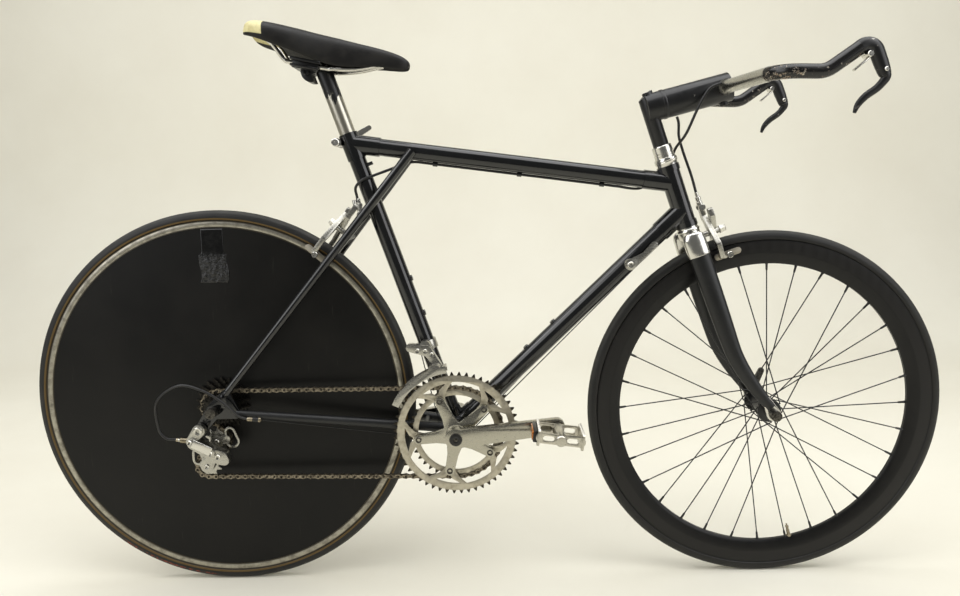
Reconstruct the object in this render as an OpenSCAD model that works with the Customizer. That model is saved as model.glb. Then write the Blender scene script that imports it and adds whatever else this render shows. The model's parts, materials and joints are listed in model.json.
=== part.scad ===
// Time trial bicycle: lugged steel frame, solid disc rear wheel, smaller deep-rimmed front wheel,
// forward-reaching bullhorn bar. X points forward, Y to the rider's left, Z up.
// The origin is where the rider sits, on top of the saddle.

/* [Wheels] */
// Width of the rear tyre
rear_tyre_w = 23; // [20:0.5:26]
// Radius of the rear rim under the tyre
rear_seat_r = 317; // [315:0.5:320]
// Height of the rear tyre over its rim
rear_tyre_h = 17; // [15:0.5:19]
// Depth of the bright rear rim
rear_rim_h = 12; // [10:0.5:14]
// Width of the front tyre
front_tyre_w = 21; // [18:0.5:24]
// Radius of the front rim under the tyre
front_seat_r = 290; // [287:0.5:293]
// Height of the front tyre over its rim
front_tyre_h = 16; // [14:0.5:18]
// Depth of the front rim
front_rim_h = 40; // [30:1:48]
// Width of both rims at the brake track
rim_w = 19; // [17:0.5:20]
// Room between the bottom bracket and the front tyre
toe_room = 230; // [222:1:245]
// Room between the bottom bracket and the rear tyre
stay_room = 73; // [70:1:80]
// Number of front spokes
spoke_n = 32; // [24:8:36]
// Diameter of a spoke
spoke_d = 2; // [1.8:0.1:2.4]
// Radius of the front hub flanges
front_flange_r = 20; // [18:0.5:24]
// Distance between the fork ends
front_old = 100; // [98:1:104]
// Distance between the rear dropouts
rear_old = 130; // [128:1:134]
// Radius of the rear axle
rear_axle_r = 5; // [4.5:0.1:5.5]
// Radius of the front axle
front_axle_r = 4.5; // [4:0.1:5]

/* [Frame] */
// Bottom bracket above the ground
bb_z = 281; // [270:1:290]
// Seat tube angle from the ground
seat_angle = 71.5; // [71:0.1:73]
// Seat tube length from bottom bracket to top edge
seat_tube_l = 536; // [525:1:550]
// Top tube joint below the seat tube's top edge
seat_joint_drop = 17; // [16:0.5:20]
// Head tube angle from the ground
head_angle = 71.5; // [71:0.1:72.5]
// Forward offset of the front hub from the steering axis
fork_rake = 30; // [26:1:36]
// Lower end of the head tube above the front tyre, along the steering axis
crown_room = 37; // [35:1:45]
// Length of the head tube
head_len = 108; // [104:1:120]
// Top tube joint below the head tube's top end
head_joint_drop = 30; // [28:0.5:34]
// Down tube joint above the head tube's lower end
head_joint_rise = 28; // [26:0.5:32]
// Radius of the top tube
top_tube_r = 14.3; // [13:0.1:15]
// Radius of the down tube
down_tube_r = 15.9; // [14.5:0.1:17]
// Radius of the seat tube
seat_tube_r = 14.3; // [14.1:0.1:15.2]
// Radius of the head tube
head_tube_r = 17; // [16.5:0.1:18.5]
// Thickness of the lugs
lug_t = 1.8; // [1.2:0.1:2.5]
// Length of a lug's socket
lug_l = 34; // [28:1:42]
// Seat stay radius at its top
stay_top_r = 8; // [7:0.1:8.5]
// Seat stay radius at the dropout
stay_end_r = 6; // [5.2:0.1:6.5]
// Chain stay radius at the bottom bracket
chain_stay_r = 9; // [8:0.1:9.5]
// Chain stay radius at the dropout
chain_stay_end_r = 6.5; // [5.5:0.1:7]
// Where the seat stays meet the top tube, ahead of the seat tube joint
stay_reach = 104; // [95:1:115]
// Thickness of the dropout plates
dropout_t = 5; // [4:0.5:6]
// Radius of the bottom bracket shell
bb_shell_r = 20; // [19:0.1:21]
// Width of the bottom bracket shell
bb_shell_w = 68; // [66:1:70]

/* [Seat] */
// Radius of the seat post
post_r = 13.6; // [13.2:0.1:13.7]
// Seat post showing above the seat tube
post_l = 108; // [95:1:125]
// Saddle length
saddle_l = 270; // [260:1:285]
// Saddle width at the tail
saddle_w = 138; // [130:1:150]
// Nose-down tilt of the saddle
saddle_tilt = 12; // [8:0.5:14]
// Radius of the saddle rails
rail_r = 3.5; // [3.2:0.1:3.8]
// Distance between the saddle rails
rail_gap = 44; // [43:0.5:46]

/* [Steering] */
// Radius of the steerer tube
steerer_r = 12.7; // [12.4:0.1:13]
// Height of the headset above the head tube
headset_h = 35; // [32:0.5:40]
// Height of the lower headset under the head tube
headset_low_h = 14; // [13:0.5:16]
// Radius of the stem's quill
quill_r = 13; // [12:0.1:14]
// Height of the stem's extension above the headset
stem_rise = 54; // [50:1:62]
// Reach of the stem to the middle of the bar
stem_reach = 122; // [115:1:130]
// Radius of the extension
stem_r = 23.5; // [20:0.5:25]
// Fall of the extension towards the bar, from square to the steerer
stem_fall = 5; // [3:0.5:7]
// Radius of the handlebar tube
bar_r = 11; // [10.5:0.1:12]
// Half the width of the bar between the horns' middles
bar_half_w = 178; // [170:1:195]
// Forward sweep of the bar outside the stem
bar_sweep = 9.5; // [6:0.5:12]
// Bend radius of the bar
bar_bend_r = 34; // [30:1:40]
// Straight length of a horn
horn_l = 24; // [18:1:40]
// Downward slope of the horns
horn_drop = 2; // [0:0.5:5]
// Upward slope of the horns' ends
horn_rise = 34; // [28:0.5:38]
// Straight length of a horn's end
horn_end_l = 44; // [38:1:50]

/* [Drivetrain] */
// Length of a crank
crank_l = 170; // [165:1:175]
// Angle of the right crank above level
crank_angle = 6.5; // [0:0.5:15]
// Teeth of the outer chainring
outer_teeth = 52; // [50:1:53]
// Teeth of the inner chainring
inner_teeth = 39; // [38:1:42]
// Diameter of the chainring bolt circle
ring_bolt_d = 130; // [129:0.5:131]
// Distance of the chain from the middle of the frame
chain_y = 42.5; // [41.5:0.5:43.5]
// Distance between the two chainrings
ring_gap = 6; // [5.8:0.1:6.5]
// Distance between sprockets
sprocket_gap = 4.8; // [4.7:0.1:5]
// Pitch of the chain
pitch = 12.7; // [12.6:0.1:12.8]
// Width of the chain over its plates
chain_w = 7; // [6.6:0.1:7.2]
// Radius of the crank spindle
spindle_r = 8.5; // [8:0.1:9]
// Radius of the pedal axle
pedal_axle_r = 5; // [4.5:0.1:5.5]
// Pedal width along its axle
pedal_w = 62; // [56:1:70]
// Pedal length fore and aft
pedal_l = 74; // [66:1:82]
// Nose-down tilt of the pedals
pedal_tilt = 8; // [0:1:15]

/* [Fits] */
// Radial clearance of turning shafts
run_fit = 0.05; // [0.02:0.01:0.08]
// Clearance between parts that are brazed or clamped together
seat_fit = 0.05; // [0.02:0.01:0.1]

/* [Hidden] */
$fn = 96;

paint_black = "#17181a";
satin_black = "#232426";
silver = "#c4c6c8";
steel = "#8f9294";
rubber = "#1c1c1d";

// Points in the side plane are [x, z] from the rear tyre's footprint.
rear_r = rear_seat_r + rear_tyre_h;
rear_rim_in_r = rear_seat_r - rear_rim_h;
front_r = front_seat_r + front_tyre_h;
front_rim_in_r = front_seat_r - front_rim_h;
bb_x = rear_r + stay_room;
wheelbase = bb_x + front_r + toe_room;
head_low = front_r + crown_room;
rear_hub = [0, rear_r];
front_hub_at = [wheelbase, front_r];
bb = [bb_x, bb_z];
seat_dir = [-cos(seat_angle), sin(seat_angle)];
seat_norm = [sin(seat_angle), cos(seat_angle)];
head_dir = [-cos(head_angle), sin(head_angle)];
head_norm = [sin(head_angle), cos(head_angle)];
head_foot = front_hub_at - fork_rake * head_norm;
head_top = head_low + head_len;
crown_top = head_low - headset_low_h;
nut_top = head_top + headset_h;
stem_z = nut_top + stem_rise;

function on_seat(s) = bb + s * seat_dir;
function on_head(s) = head_foot + s * head_dir;
function steer_at(x, z) = head_foot + x * head_norm + z * head_dir;
function p3(p, y = 0) = [p[0], y, p[1]];
function unit(v) = v / norm(v);
function turn(v) = [-v[1], v[0]];

seat_joint = on_seat(seat_tube_l - seat_joint_drop);
head_joint = on_head(head_top - head_joint_drop);
down_joint = on_head(head_low + head_joint_rise);
top_dir = unit(head_joint - seat_joint);
down_dir = unit(down_joint - bb);
down_norm = turn(down_dir);

dropout_y = rear_old / 2;
fork_end_y = front_old / 2;
stay_low = rear_hub + [18, 24];
stay_high = seat_joint + stay_reach * top_dir;
stay_dir = unit(stay_high - stay_low);
stay_angle = atan2(stay_dir[1], stay_dir[0]);
stay_low_y = dropout_y + dropout_t / 2;
stay_high_y = top_tube_r;
chain_stay_end = rear_hub + [38, -5];
chain_stay_y = 20;
hanger = rear_hub + [-22, -29];

// The brake hangs on a bridge this far from the rear hub.
bridge_r = rear_seat_r + 49;
function stay_at(t) = stay_low + t * stay_dir;
function stay_y(t) = stay_low_y + (stay_high_y - stay_low_y) * t / norm(stay_high - stay_low);
function reach_along(p, d, c, r) =
  let (q = p - c, b = q * d) -b + sqrt(b * b - q * q + r * r);
bridge_t = reach_along(stay_low, stay_dir, rear_hub, bridge_r);
bridge = stay_at(bridge_t);

post_top = on_seat(seat_tube_l + post_l);
saddle_ref = post_top + [-13, 26];
rider = saddle_ref + [0, 33];

pedal_right_at = bb + crank_l * [cos(crank_angle), sin(crank_angle)];
pedal_left_at = bb - crank_l * [cos(crank_angle), sin(crank_angle)];

// Moves a drawing from the rear tyre's footprint to the rider's seat.
module placed() translate(-p3(rider)) children();

// Round bar from a to b.
module rod(a, b, r1, r2) {
  v = b - a;
  l = norm(v);
  translate(a)
    rotate([0, acos(v[2] / l), atan2(v[1], v[0])])
      cylinder(h = l, r1 = r1, r2 = is_undef(r2) ? r1 : r2);
}

// Round bar along Y.
module across(p, y0, y1, r) {
  translate([p[0], y0, p[1]]) rotate([-90, 0, 0]) cylinder(h = y1 - y0, r = r);
}

// Flat plate, drawn in the side plane, between two Y planes.
module plate(y0, y1) translate([0, y1, 0]) rotate([90, 0, 0]) linear_extrude(y1 - y0) children();

// Ring about a wheel's axle; its section is drawn as [radius, y].
module ring_at(p) translate(p3(p)) rotate([-90, 0, 0]) rotate_extrude() children();

// Rounded link outline between two circles.
function arc_points(c, r, a0, a1, n = 10) =
  [for (i = [0:n]) c + r * [cos(a0 + (a1 - a0) * i / n), sin(a0 + (a1 - a0) * i / n)]];
module link2d(a, b, ra, rb) {
  d = b - a;
  base = atan2(d[1], d[0]);
  lean = acos((ra - rb) / norm(d));
  polygon(concat(arc_points(a, ra, base + lean, base + 360 - lean),
    arc_points(b, rb, base - lean, base + lean)));
}
// A row of links through [point, radius] pairs.
module links2d(rows) {
  for (i = [0:len(rows) - 2]) link2d(rows[i][0], rows[i + 1][0], rows[i][1], rows[i + 1][1]);
}

// Round tube swept through points, with a radius at each; ref is a direction it never runs along.
function heading(p, i) = unit(p[min(i + 1, len(p) - 1)] - p[max(i - 1, 0)]);
function tube_ring(c, d, r, n, ref) =
  let (u = unit(cross(ref, d)), w = cross(d, u))
    [for (k = [0:n - 1]) c + r * (cos(360 * k / n) * u + sin(360 * k / n) * w)];
module tube(path, radii, n, ref = [0, 1, 0]) {
  m = len(path);
  points = [for (i = [0:m - 1]) each tube_ring(path[i], heading(path, i), radii[i], n, ref)];
  walls = [for (i = [0:m - 2]) for (k = [0:n - 1])
    [i * n + k, i * n + (k + 1) % n, (i + 1) * n + (k + 1) % n, (i + 1) * n + k]];
  low = [for (k = [n - 1:-1:0]) k];
  high = [for (k = [0:n - 1]) (m - 1) * n + k];
  polyhedron(points, concat(walls, [low, high]), convexity = 4);
}
// Smooth curve through hand-picked points.
function smooth_at(p, i, t) =
  let (a = p[max(i - 1, 0)], b = p[i], c = p[i + 1], d = p[min(i + 2, len(p) - 1)])
    0.5 * (2 * b + (c - a) * t + (2 * a - 5 * b + 4 * c - d) * t * t
      + (3 * b - a - 3 * c + d) * t * t * t);
function smooth(p, steps) =
  concat([for (i = [0:len(p) - 2]) for (k = [0:steps - 1]) smooth_at(p, i, k / steps)], [p[len(p) - 1]]);
module cord(points, r, steps) {
  path = smooth(points, steps);
  tube(path, [for (p = path) r], 8);
}

// Frames that pieces are drawn in: the steering axis, with x forward of it.
module steer_frame() translate(p3(head_foot)) rotate([0, head_angle - 90, 0]) children();
// The brake bridge, with z up along the seat stays and x to their back.
module bridge_frame() translate(p3(bridge)) rotate([0, 90 - stay_angle, 0]) rotate([0, 0, 180]) children();

// Frame

module head_outline(extra) {
  rod(p3(on_head(head_low)), p3(on_head(head_top)), head_tube_r + extra);
  for (s = [head_low, head_top - lug_ring_h])
    rod(p3(on_head(s)), p3(on_head(s + lug_ring_h)), head_tube_r + lug_t + extra);
}
lug_ring_h = 10;
module socket(from, dir, l, r) {
  difference() {
    rod(p3(from), p3(from + l * dir), r + lug_t);
    rod(p3(from), p3(from + (l + 1) * dir), r + seat_fit);
  }
}
module head_tube() color(paint_black) placed() difference() {
  union() {
    head_outline(0);
    socket(head_joint, -top_dir, head_tube_r + lug_l, top_tube_r);
    socket(down_joint, -down_dir, head_tube_r + lug_l, down_tube_r);
  }
  rod(p3(on_head(head_low - 1)), p3(on_head(head_top + 1)), head_bore_r);
}
head_bore_r = steerer_r + 1.6;

cable_r = 2.5;
clip_l = 8;
top_l = norm(head_joint - seat_joint);
// Places along the top tube, as shares of its length
clip_at = [0.256, 0.518, 0.775];
function under_top(share, on = 0) = seat_joint + (share * top_l + on) * top_dir
  + (top_tube_r + cable_r) * [top_dir[1], -top_dir[0]];
module top_tube() color(paint_black) placed() difference() {
  union() {
    rod(p3(seat_joint), p3(head_joint), top_tube_r);
    for (u = clip_at) rod(p3(under_top(u)), p3(under_top(u, clip_l)), cable_r + 1.5);
  }
  for (u = clip_at) rod(p3(under_top(u, -1)), p3(under_top(u, clip_l + 1)), cable_r + 0.2);
  head_outline(seat_fit);
  rod(p3(bb), p3(on_seat(seat_tube_l)), seat_tube_r + lug_t + seat_fit);
}

bottle_gap = 64;
bottle_hole_r = 2.5;
boss_r = 5;
boss_h = 2.5;
seat_bottle_s = 209;
down_bottle_s = 184;
module bosses(at, dir, norm_dir, r) {
  for (s = [0, bottle_gap]) rod(p3(at + s * dir + (r - 2) * norm_dir),
    p3(at + s * dir + (r + boss_h) * norm_dir), boss_r);
}
module boss_holes(at, dir, norm_dir, r) {
  for (s = [0, bottle_gap]) rod(p3(at + s * dir + (r - 9) * norm_dir),
    p3(at + s * dir + (r + boss_h + 1) * norm_dir), bottle_hole_r);
}
shifter_s = 410;
shift_boss_w = 6;
module down_tube() color(paint_black) placed() difference() {
  union() {
    rod(p3(bb), p3(down_joint), down_tube_r);
    bosses(bb + down_bottle_s * down_dir, down_dir, down_norm, down_tube_r);
    across(shifter_at, -down_tube_r - shift_boss_w, down_tube_r + shift_boss_w, 7);
  }
  boss_holes(bb + down_bottle_s * down_dir, down_dir, down_norm, down_tube_r);
  head_outline(seat_fit);
  across(bb, -bb_shell_w, bb_shell_w, bb_shell_r + seat_fit);
  rod(p3(bb), p3(on_seat(seat_tube_l)), seat_tube_r + lug_t + seat_fit);
}

post_in = 90;
seat_lug_l = 44;
binder_back = 19;
module seat_tube() color(paint_black) placed() difference() {
  union() {
    rod(p3(bb), p3(on_seat(seat_tube_l)), seat_tube_r);
    rod(p3(on_seat(seat_tube_l - seat_lug_l)), p3(on_seat(seat_tube_l)), seat_tube_r + lug_t);
    socket(seat_joint, top_dir, seat_tube_r + lug_l, top_tube_r);
    across(on_seat(seat_tube_l - 9) - binder_back * seat_norm, -14, 14, 6.5);
    bosses(on_seat(seat_bottle_s), seat_dir, seat_norm, seat_tube_r);
    rod(p3(on_seat(peg_s) + (seat_tube_r - 2) * seat_norm),
      p3(on_seat(peg_s) + (seat_tube_r + 8) * seat_norm), 3);
  }
  boss_holes(on_seat(seat_bottle_s), seat_dir, seat_norm, seat_tube_r);
  rod(p3(on_seat(seat_tube_l - post_in - 5)), p3(on_seat(seat_tube_l + 1)), post_r + seat_fit);
  across(on_seat(seat_tube_l - 9) - binder_back * seat_norm, -15, 15, 3.2);
  across(bb, -bb_shell_w, bb_shell_w, bb_shell_r + seat_fit);
}
peg_s = seat_tube_l - 58;

cup_w = 4;
module bottom_bracket() color(paint_black) placed() difference() {
  union() {
    across(bb, -bb_shell_w / 2, bb_shell_w / 2, bb_shell_r);
    across(bb, -bb_shell_w / 2 - cup_w, bb_shell_w / 2 + cup_w, bb_shell_r - 2);
    across(bb + [0, -bb_shell_r - 1], -14, 14, 4);
    difference() {
      rod(p3(bb), p3(bb + (bb_shell_r + 16) * seat_dir), seat_tube_r + lug_t);
      rod(p3(bb), p3(bb + (bb_shell_r + 20) * seat_dir), seat_tube_r + seat_fit);
    }
    difference() {
      rod(p3(bb), p3(bb + (bb_shell_r + 20) * down_dir), down_tube_r + lug_t);
      rod(p3(bb), p3(bb + (bb_shell_r + 21) * down_dir), down_tube_r + seat_fit);
      rod(p3(bb), p3(bb + (bb_shell_r + 20) * seat_dir), seat_tube_r + lug_t);
    }
  }
  across(bb, -bb_shell_w, bb_shell_w, spindle_r + run_fit);
}

module stay_line(side, r1, r2)
  rod(p3(stay_low, side * stay_low_y), p3(stay_high, side * stay_high_y), r1, r2);
module seat_stays() color(paint_black) placed() difference() {
  for (side = [-1, 1]) stay_line(side, stay_end_r, stay_top_r);
  rod(p3(seat_joint), p3(head_joint), top_tube_r + seat_fit);
  rod(p3(bb), p3(on_seat(seat_tube_l)), seat_tube_r + seat_fit);
  dropout_plates(seat_fit);
}
module chain_stays() color(paint_black) placed() difference() {
  union() {
    for (side = [-1, 1])
      rod(p3(bb, side * chain_stay_y), p3(chain_stay_end, side * stay_low_y), chain_stay_r, chain_stay_end_r);
    rod(gear_stop, gear_stop_end, 4);
  }
  across(bb, -bb_shell_w, bb_shell_w, bb_shell_r + seat_fit);
  rod(p3(bb), p3(on_seat(seat_tube_l)), seat_tube_r + lug_t + seat_fit);
  dropout_plates(seat_fit);
}
chain_bridge_x = 352;
chain_bridge = bb + ((bb_x - chain_bridge_x) / norm(chain_stay_end - bb)) * (chain_stay_end - bb);
module stay_bridges() color(paint_black) placed() difference() {
  union() {
    across(bridge, -stay_y(bridge_t), stay_y(bridge_t), bridge_rod_r);
    across(chain_bridge, -chain_stay_y - 6, chain_stay_y + 6, 5);
  }
  for (side = [-1, 1]) {
    stay_line(side, stay_end_r + seat_fit, stay_top_r + seat_fit);
    rod(p3(bb, side * chain_stay_y), p3(chain_stay_end, side * stay_low_y), chain_stay_r + seat_fit,
      chain_stay_end_r + seat_fit);
  }
}
module dropout_outline() {
  link2d(rear_hub, chain_stay_end, 13, 8);
  link2d(rear_hub, stay_low + 8 * stay_dir, 13, 7);
  link2d(stay_low + 8 * stay_dir, chain_stay_end, 7, 8);
}
module dropout_plates(extra) {
  for (side = [-1, 1]) scale([1, side, 1])
    plate(dropout_y - extra, dropout_y + dropout_t + extra) dropout_outline();
}
module rear_dropouts() color(paint_black) placed() difference() {
  union() {
    dropout_plates(0);
    plate(-dropout_y - dropout_t, -dropout_y) link2d(rear_hub, hanger, 13, 9);
  }
  across(rear_hub, -rear_old, rear_old, rear_axle_r + seat_fit);
}

module headset_cups() color(silver) placed() steer_frame() difference() {
  union() {
    translate([0, 0, head_top]) cylinder(h = cup_h, r1 = head_tube_r, r2 = head_tube_r + 2);
    translate([0, 0, head_low - cup_h]) cylinder(h = cup_h, r1 = head_tube_r + 2.5, r2 = head_tube_r);
  }
  translate([0, 0, head_low - 50]) cylinder(h = head_len + 100, r = steerer_r + run_fit);
}
cup_h = 8;

// Seat

module seat_post() color(satin_black) placed()
  rod(p3(on_seat(seat_tube_l - post_in)), p3(post_top), post_r);

// Saddle frame: x forward along the tilted saddle, z up.
module saddle_frame() translate(p3(saddle_ref)) rotate([0, saddle_tilt, 0]) children();
rail_z = -20;
tail_x = -0.418 * saddle_l;
// Saddle sections: [share of the length, share of half the width, top, skirt's edge]
saddle_rows = [[0.00, 0.45, 24, 8], [0.03, 0.74, 30, 3], [0.10, 0.97, 33, 2], [0.20, 1.00, 34, -3],
  [0.32, 0.84, 34, -7], [0.42, 0.62, 33, -11], [0.54, 0.42, 33, -16], [0.66, 0.33, 31, -11],
  [0.78, 0.28, 30, -3], [0.90, 0.26, 27, 0], [0.97, 0.22, 22, 2], [1.00, 0.12, 15, 6]];
// Half of a section, from the crown round the skirt to under the middle: [share across, share of the height]
saddle_half = [[0, 1], [0.3, 0.99], [0.6, 0.95], [0.85, 0.84], [0.97, 0.62], [1, 0.3],
  [0.97, 0.04], [0.86, 0], [0.6, 0.3], [0.3, 0.45], [0, 0.5]];
function mirrored(half) = concat(half, [for (i = [len(half) - 2:-1:1]) [-half[i][0], half[i][1]]]);
function saddle_ring(row) = [for (q = mirrored(saddle_half))
  [tail_x + row[0] * saddle_l, -q[0] * row[1] * saddle_w / 2, row[3] + q[1] * (row[2] - row[3])]];
module saddle() color(rubber) placed() saddle_frame() {
  m = len(saddle_rows);
  n = 2 * len(saddle_half) - 2;
  points = [for (row = saddle_rows) each saddle_ring(row)];
  walls = [for (i = [0:m - 2]) for (k = [0:n - 1])
    [i * n + k, i * n + (k + 1) % n, (i + 1) * n + (k + 1) % n, (i + 1) * n + k]];
  low = [for (k = [n - 1:-1:0]) k];
  high = [for (k = [0:n - 1]) (m - 1) * n + k];
  polyhedron(points, concat(walls, [low, high]), convexity = 4);
}
// A rail is straight where the clamp holds it and rises to the shell at both ends.
function rail_path(y) = smooth([[-78, y * 1.4, 8.5], [-64, y * 1.25, 1], [-50, y, -13], [-40, y, rail_z],
  [-30, y, rail_z], [26, y, rail_z], [36, y, rail_z + 1], [72, y * 0.64, -11.5], [112, y * 0.4, 4]], 4);
module saddle_rails() color(silver) placed() saddle_frame() for (side = [-1, 1]) {
  path = rail_path(side * rail_gap / 2);
  tube(path, [for (p = path) rail_r], 12);
}
clamp_x = [-28, 14];
clamp_half = 8;
module saddle_clamp() color(satin_black) placed() difference() {
  union() {
    saddle_frame() translate([clamp_x[0], -rail_gap / 2 - 6, rail_z - clamp_half])
      cube([clamp_x[1] - clamp_x[0], rail_gap + 12, 2 * clamp_half]);
    saddle_frame() translate([0, -14, rail_z - clamp_half]) rotate([-90, 0, 0]) cylinder(h = 28, r = 17);
    rod(p3(post_top), p3(saddle_ref + [0, rail_z]), post_r - 1);
  }
  saddle_frame() for (side = [-1, 1])
    translate([-60, side * rail_gap / 2, rail_z]) rotate([0, 90, 0]) cylinder(h = 120, r = rail_r + seat_fit);
  rod(p3(on_seat(seat_tube_l - post_in)), p3(post_top), post_r + 10);
}
module seat_binder() color(silver) placed() {
  at = on_seat(seat_tube_l - 9) - binder_back * seat_norm;
  across(at, -19, 20, 3);
  across(at, -21, -14, 7);
  across(at, 14, 24, 7.5);
  plate(19, 25) link2d(at, at + [48, 26], 6, 4);
}

// Drivetrain on the frame

ring_y = [-chain_y - ring_gap, -chain_y];
function pitch_r(n) = pitch / (2 * sin(180 / n));
sprockets = [11, 12, 13, 14, 16, 18, 20, 22];
chain_sprocket = 3;
pulley_teeth = 10;
guide_pulley = rear_hub + [-5, -59];
tension_pulley = rear_hub + [-26, -104];
pulley_r = pitch_r(pulley_teeth);

cage_r = pitch_r(outer_teeth) + 9.5;
cage_half = 6;
cage_t = 1.5;
cage_out = chain_y + ring_gap + 8;
cage_in = chain_y - 6;
cage_arc = [97, 153];
mech_s = 146;
mech_h = 16;
cage_top = bb + (cage_r + 6) * [cos(104), sin(104)];
module front_derailleur() color(silver) placed() {
  difference() {
    union() {
      rod(p3(on_seat(mech_s)), p3(on_seat(mech_s + mech_h)), seat_tube_r + 3);
      plate(-34, -seat_tube_r) link2d(on_seat(mech_s + 2), on_seat(mech_s + 12), 9, 9);
      plate(-38, -26) link2d(on_seat(mech_s + 4), on_seat(mech_s + 10) - [26, 0], 9, 7);
      plate(-38, -26) link2d(on_seat(mech_s + 6), cage_top, 8, 6);
      plate(-cage_out, -30) link2d(cage_top, cage_top - [10, 2], 4, 4);
    }
    rod(p3(bb), p3(on_seat(seat_tube_l)), seat_tube_r + seat_fit);
  }
  for (y = [-cage_out, -cage_in]) plate(y, y + cage_t)
    arc_band(bb, cage_r - cage_half, cage_r + cage_half, cage_arc[0], cage_arc[1]);
  plate(-cage_out + 0.5, -cage_in + 1)
    arc_band(bb, cage_r + cage_half - 3, cage_r + cage_half, cage_arc[0], cage_arc[0] + 8);
}
module arc_band(c, r0, r1, a0, a1)
  polygon(concat(arc_points(c, r1, a0, a1, 16), arc_points(c, r0, a1, a0, 16)));

body_in_y = dropout_y + dropout_t;
derailleur_joint = rear_hub + [-37, -48];
knuckle = rear_hub + [6, -76];
adjuster_y = body_in_y + 7;
adjuster_end = derailleur_joint + [-22, 2];
cage_gap = 8.5;
module rear_derailleur() color(silver) placed() {
  across(hanger, -body_in_y - 15, -body_in_y - seat_fit, 7.5);
  plate(-body_in_y - 13, -body_in_y - 2) link2d(hanger, derailleur_joint, 10.4, 7.6);
  plate(-body_in_y - 16, -body_in_y + 4)
    links2d([[derailleur_joint + [4, -3], 8.6], [knuckle + [-12, 8], 9.2]]);
  plate(-body_in_y - 10, -body_in_y + 6) links2d([[knuckle + [-14, 6], 9.8], [knuckle + [4, -2], 12],
    [knuckle + [10, -7], 8]]);
  across(knuckle, -body_in_y + 2, -chain_y - cage_gap - seat_fit, 9.4);
  rod(p3(derailleur_joint, -adjuster_y), p3(adjuster_end, -adjuster_y), 3.3);
}
// The outer cage plate carries an open loop ahead of the upper pulley and one behind the lower.
module cage_loop(a, b, r) difference() {
  link2d(a, b, r, r + 2);
  link2d(a, b, r - 4, r - 2);
}
module derailleur_cage() color(steel) placed() {
  for (y = [-chain_y - cage_gap, -chain_y + cage_gap - 3])
    plate(y, y + 2) link2d(guide_pulley, tension_pulley, 11, 11);
  plate(-chain_y - cage_gap, -chain_y - cage_gap + 2) {
    cage_loop(guide_pulley + [23, 16], guide_pulley + [27, 0], 10);
    link2d(guide_pulley, guide_pulley + [16, 4], 8, 7);
    cage_loop(tension_pulley + [-16, 25], tension_pulley + [-14, 13], 8);
  }
  for (p = [guide_pulley, tension_pulley]) {
    plate(-chain_y - 1.1, -chain_y + 1.1) translate(p) toothed(pulley_teeth, 3);
    across(p, -chain_y - 8, -chain_y + 7, 4);
  }
}
// Toothed outline. One tooth: [pitches round from the gap before it, height over the pitch circle]
module toothed(n, tip) {
  r = pitch_r(n);
  tooth = [[-0.2, -3.6], [0.2, -3.6], [0.32, -0.4], [0.44, tip], [0.56, tip], [0.68, -0.4]];
  polygon([for (i = [0:n - 1]) for (t = tooth)
    (r + t[1]) * [cos(360 * (i + t[0]) / n), sin(360 * (i + t[0]) / n)]]);
}
module shift_levers() color(silver) placed() {
  in_y = down_tube_r + shift_boss_w;
  for (side = [-1, 1]) scale([1, side, 1]) {
    across(shifter_at, in_y, in_y + 9, 9.5);
    across(shifter_at, in_y + 9, in_y + 12, 5);
    plate(in_y + 2, in_y + 7)
      links2d([[shifter_at, 8], [shifter_at + [24, 16], 4], [shifter_at + [40, 32], 5.5]]);
  }
}

// Brake calliper: bolt through the local origin along x, z away from the rim. Two arms lie
// one behind the other; each holds a pad at its foot, and their tops take the cable.
arm_t = 8;
arm_gap = 0.5;
barrel_y = 9;
barrel_l = 12;
pad_gap = 2;
pad_t = 7;
shoe_t = 3;
pad_y = rim_w / 2 + pad_gap;
pad_out = pad_y + pad_t + shoe_t;
module calliper(seat_x, back, drop, anchor_z, tilt) {
  // [y, z, radius] along an arm, from the pad up to the bolt and on towards the cable
  arm = [[pad_out + 5.2, -drop + 2, 5], [pad_out + 7, -drop * 0.45, 5.5], [8, 4, 8],
    [-10, anchor_z * 0.55, 6]];
  for (side = [-1, 1]) {
    x0 = side < 0 ? back : back + arm_t + arm_gap;
    top = side < 0 ? anchor_z : anchor_z * 0.7;
    translate([x0, 0, 0]) rotate([90, 0, 90]) linear_extrude(arm_t) {
      links2d([for (row = arm) [[side * row[0], row[1]], row[2]]]);
      link2d([-side * 10, anchor_z * 0.55], [-side * 9, top], 6, 5);
    }
    translate([back + arm_t + arm_gap / 2, side * (pad_out + seat_fit), -drop])
      rotate([-90 * side, 0, 0]) cylinder(h = 9, r = 4);
  }
  translate([seat_x, 0, 0]) rotate([0, 90, 0]) cylinder(h = back - seat_x + 2 * arm_t + 6, r = 5);
  translate([back + arm_t / 2, barrel_y, anchor_z]) rotate([0, tilt, 0]) cylinder(h = barrel_l, r = 3.6);
}
module pads(drop, x) {
  for (side = [-1, 1]) scale([1, side, 1]) {
    translate([x - 22, pad_y, -drop - 5]) cube([44, pad_t, 10]);
    translate([x - 20, pad_y + pad_t, -drop - 4]) cube([40, shoe_t, 8]);
  }
}
bridge_rod_r = 6;
rear_pad_drop = 55;
rear_pad_x = 24;
rear_arm_x = 16;
rear_anchor_z = 48;
rear_barrel_tilt = 50;
front_brake_z = crown_top - 9;
crown_r = 12;
front_pad_drop = 41;
front_pad_x = 46;
front_arm_x = 30;
front_anchor_z = 52;
module rear_brake() color(silver) placed() bridge_frame()
  calliper(bridge_rod_r + seat_fit, rear_arm_x, rear_pad_drop, rear_anchor_z, rear_barrel_tilt);
module rear_brake_pads() color(rubber) placed() bridge_frame() pads(rear_pad_drop, rear_pad_x);

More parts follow.
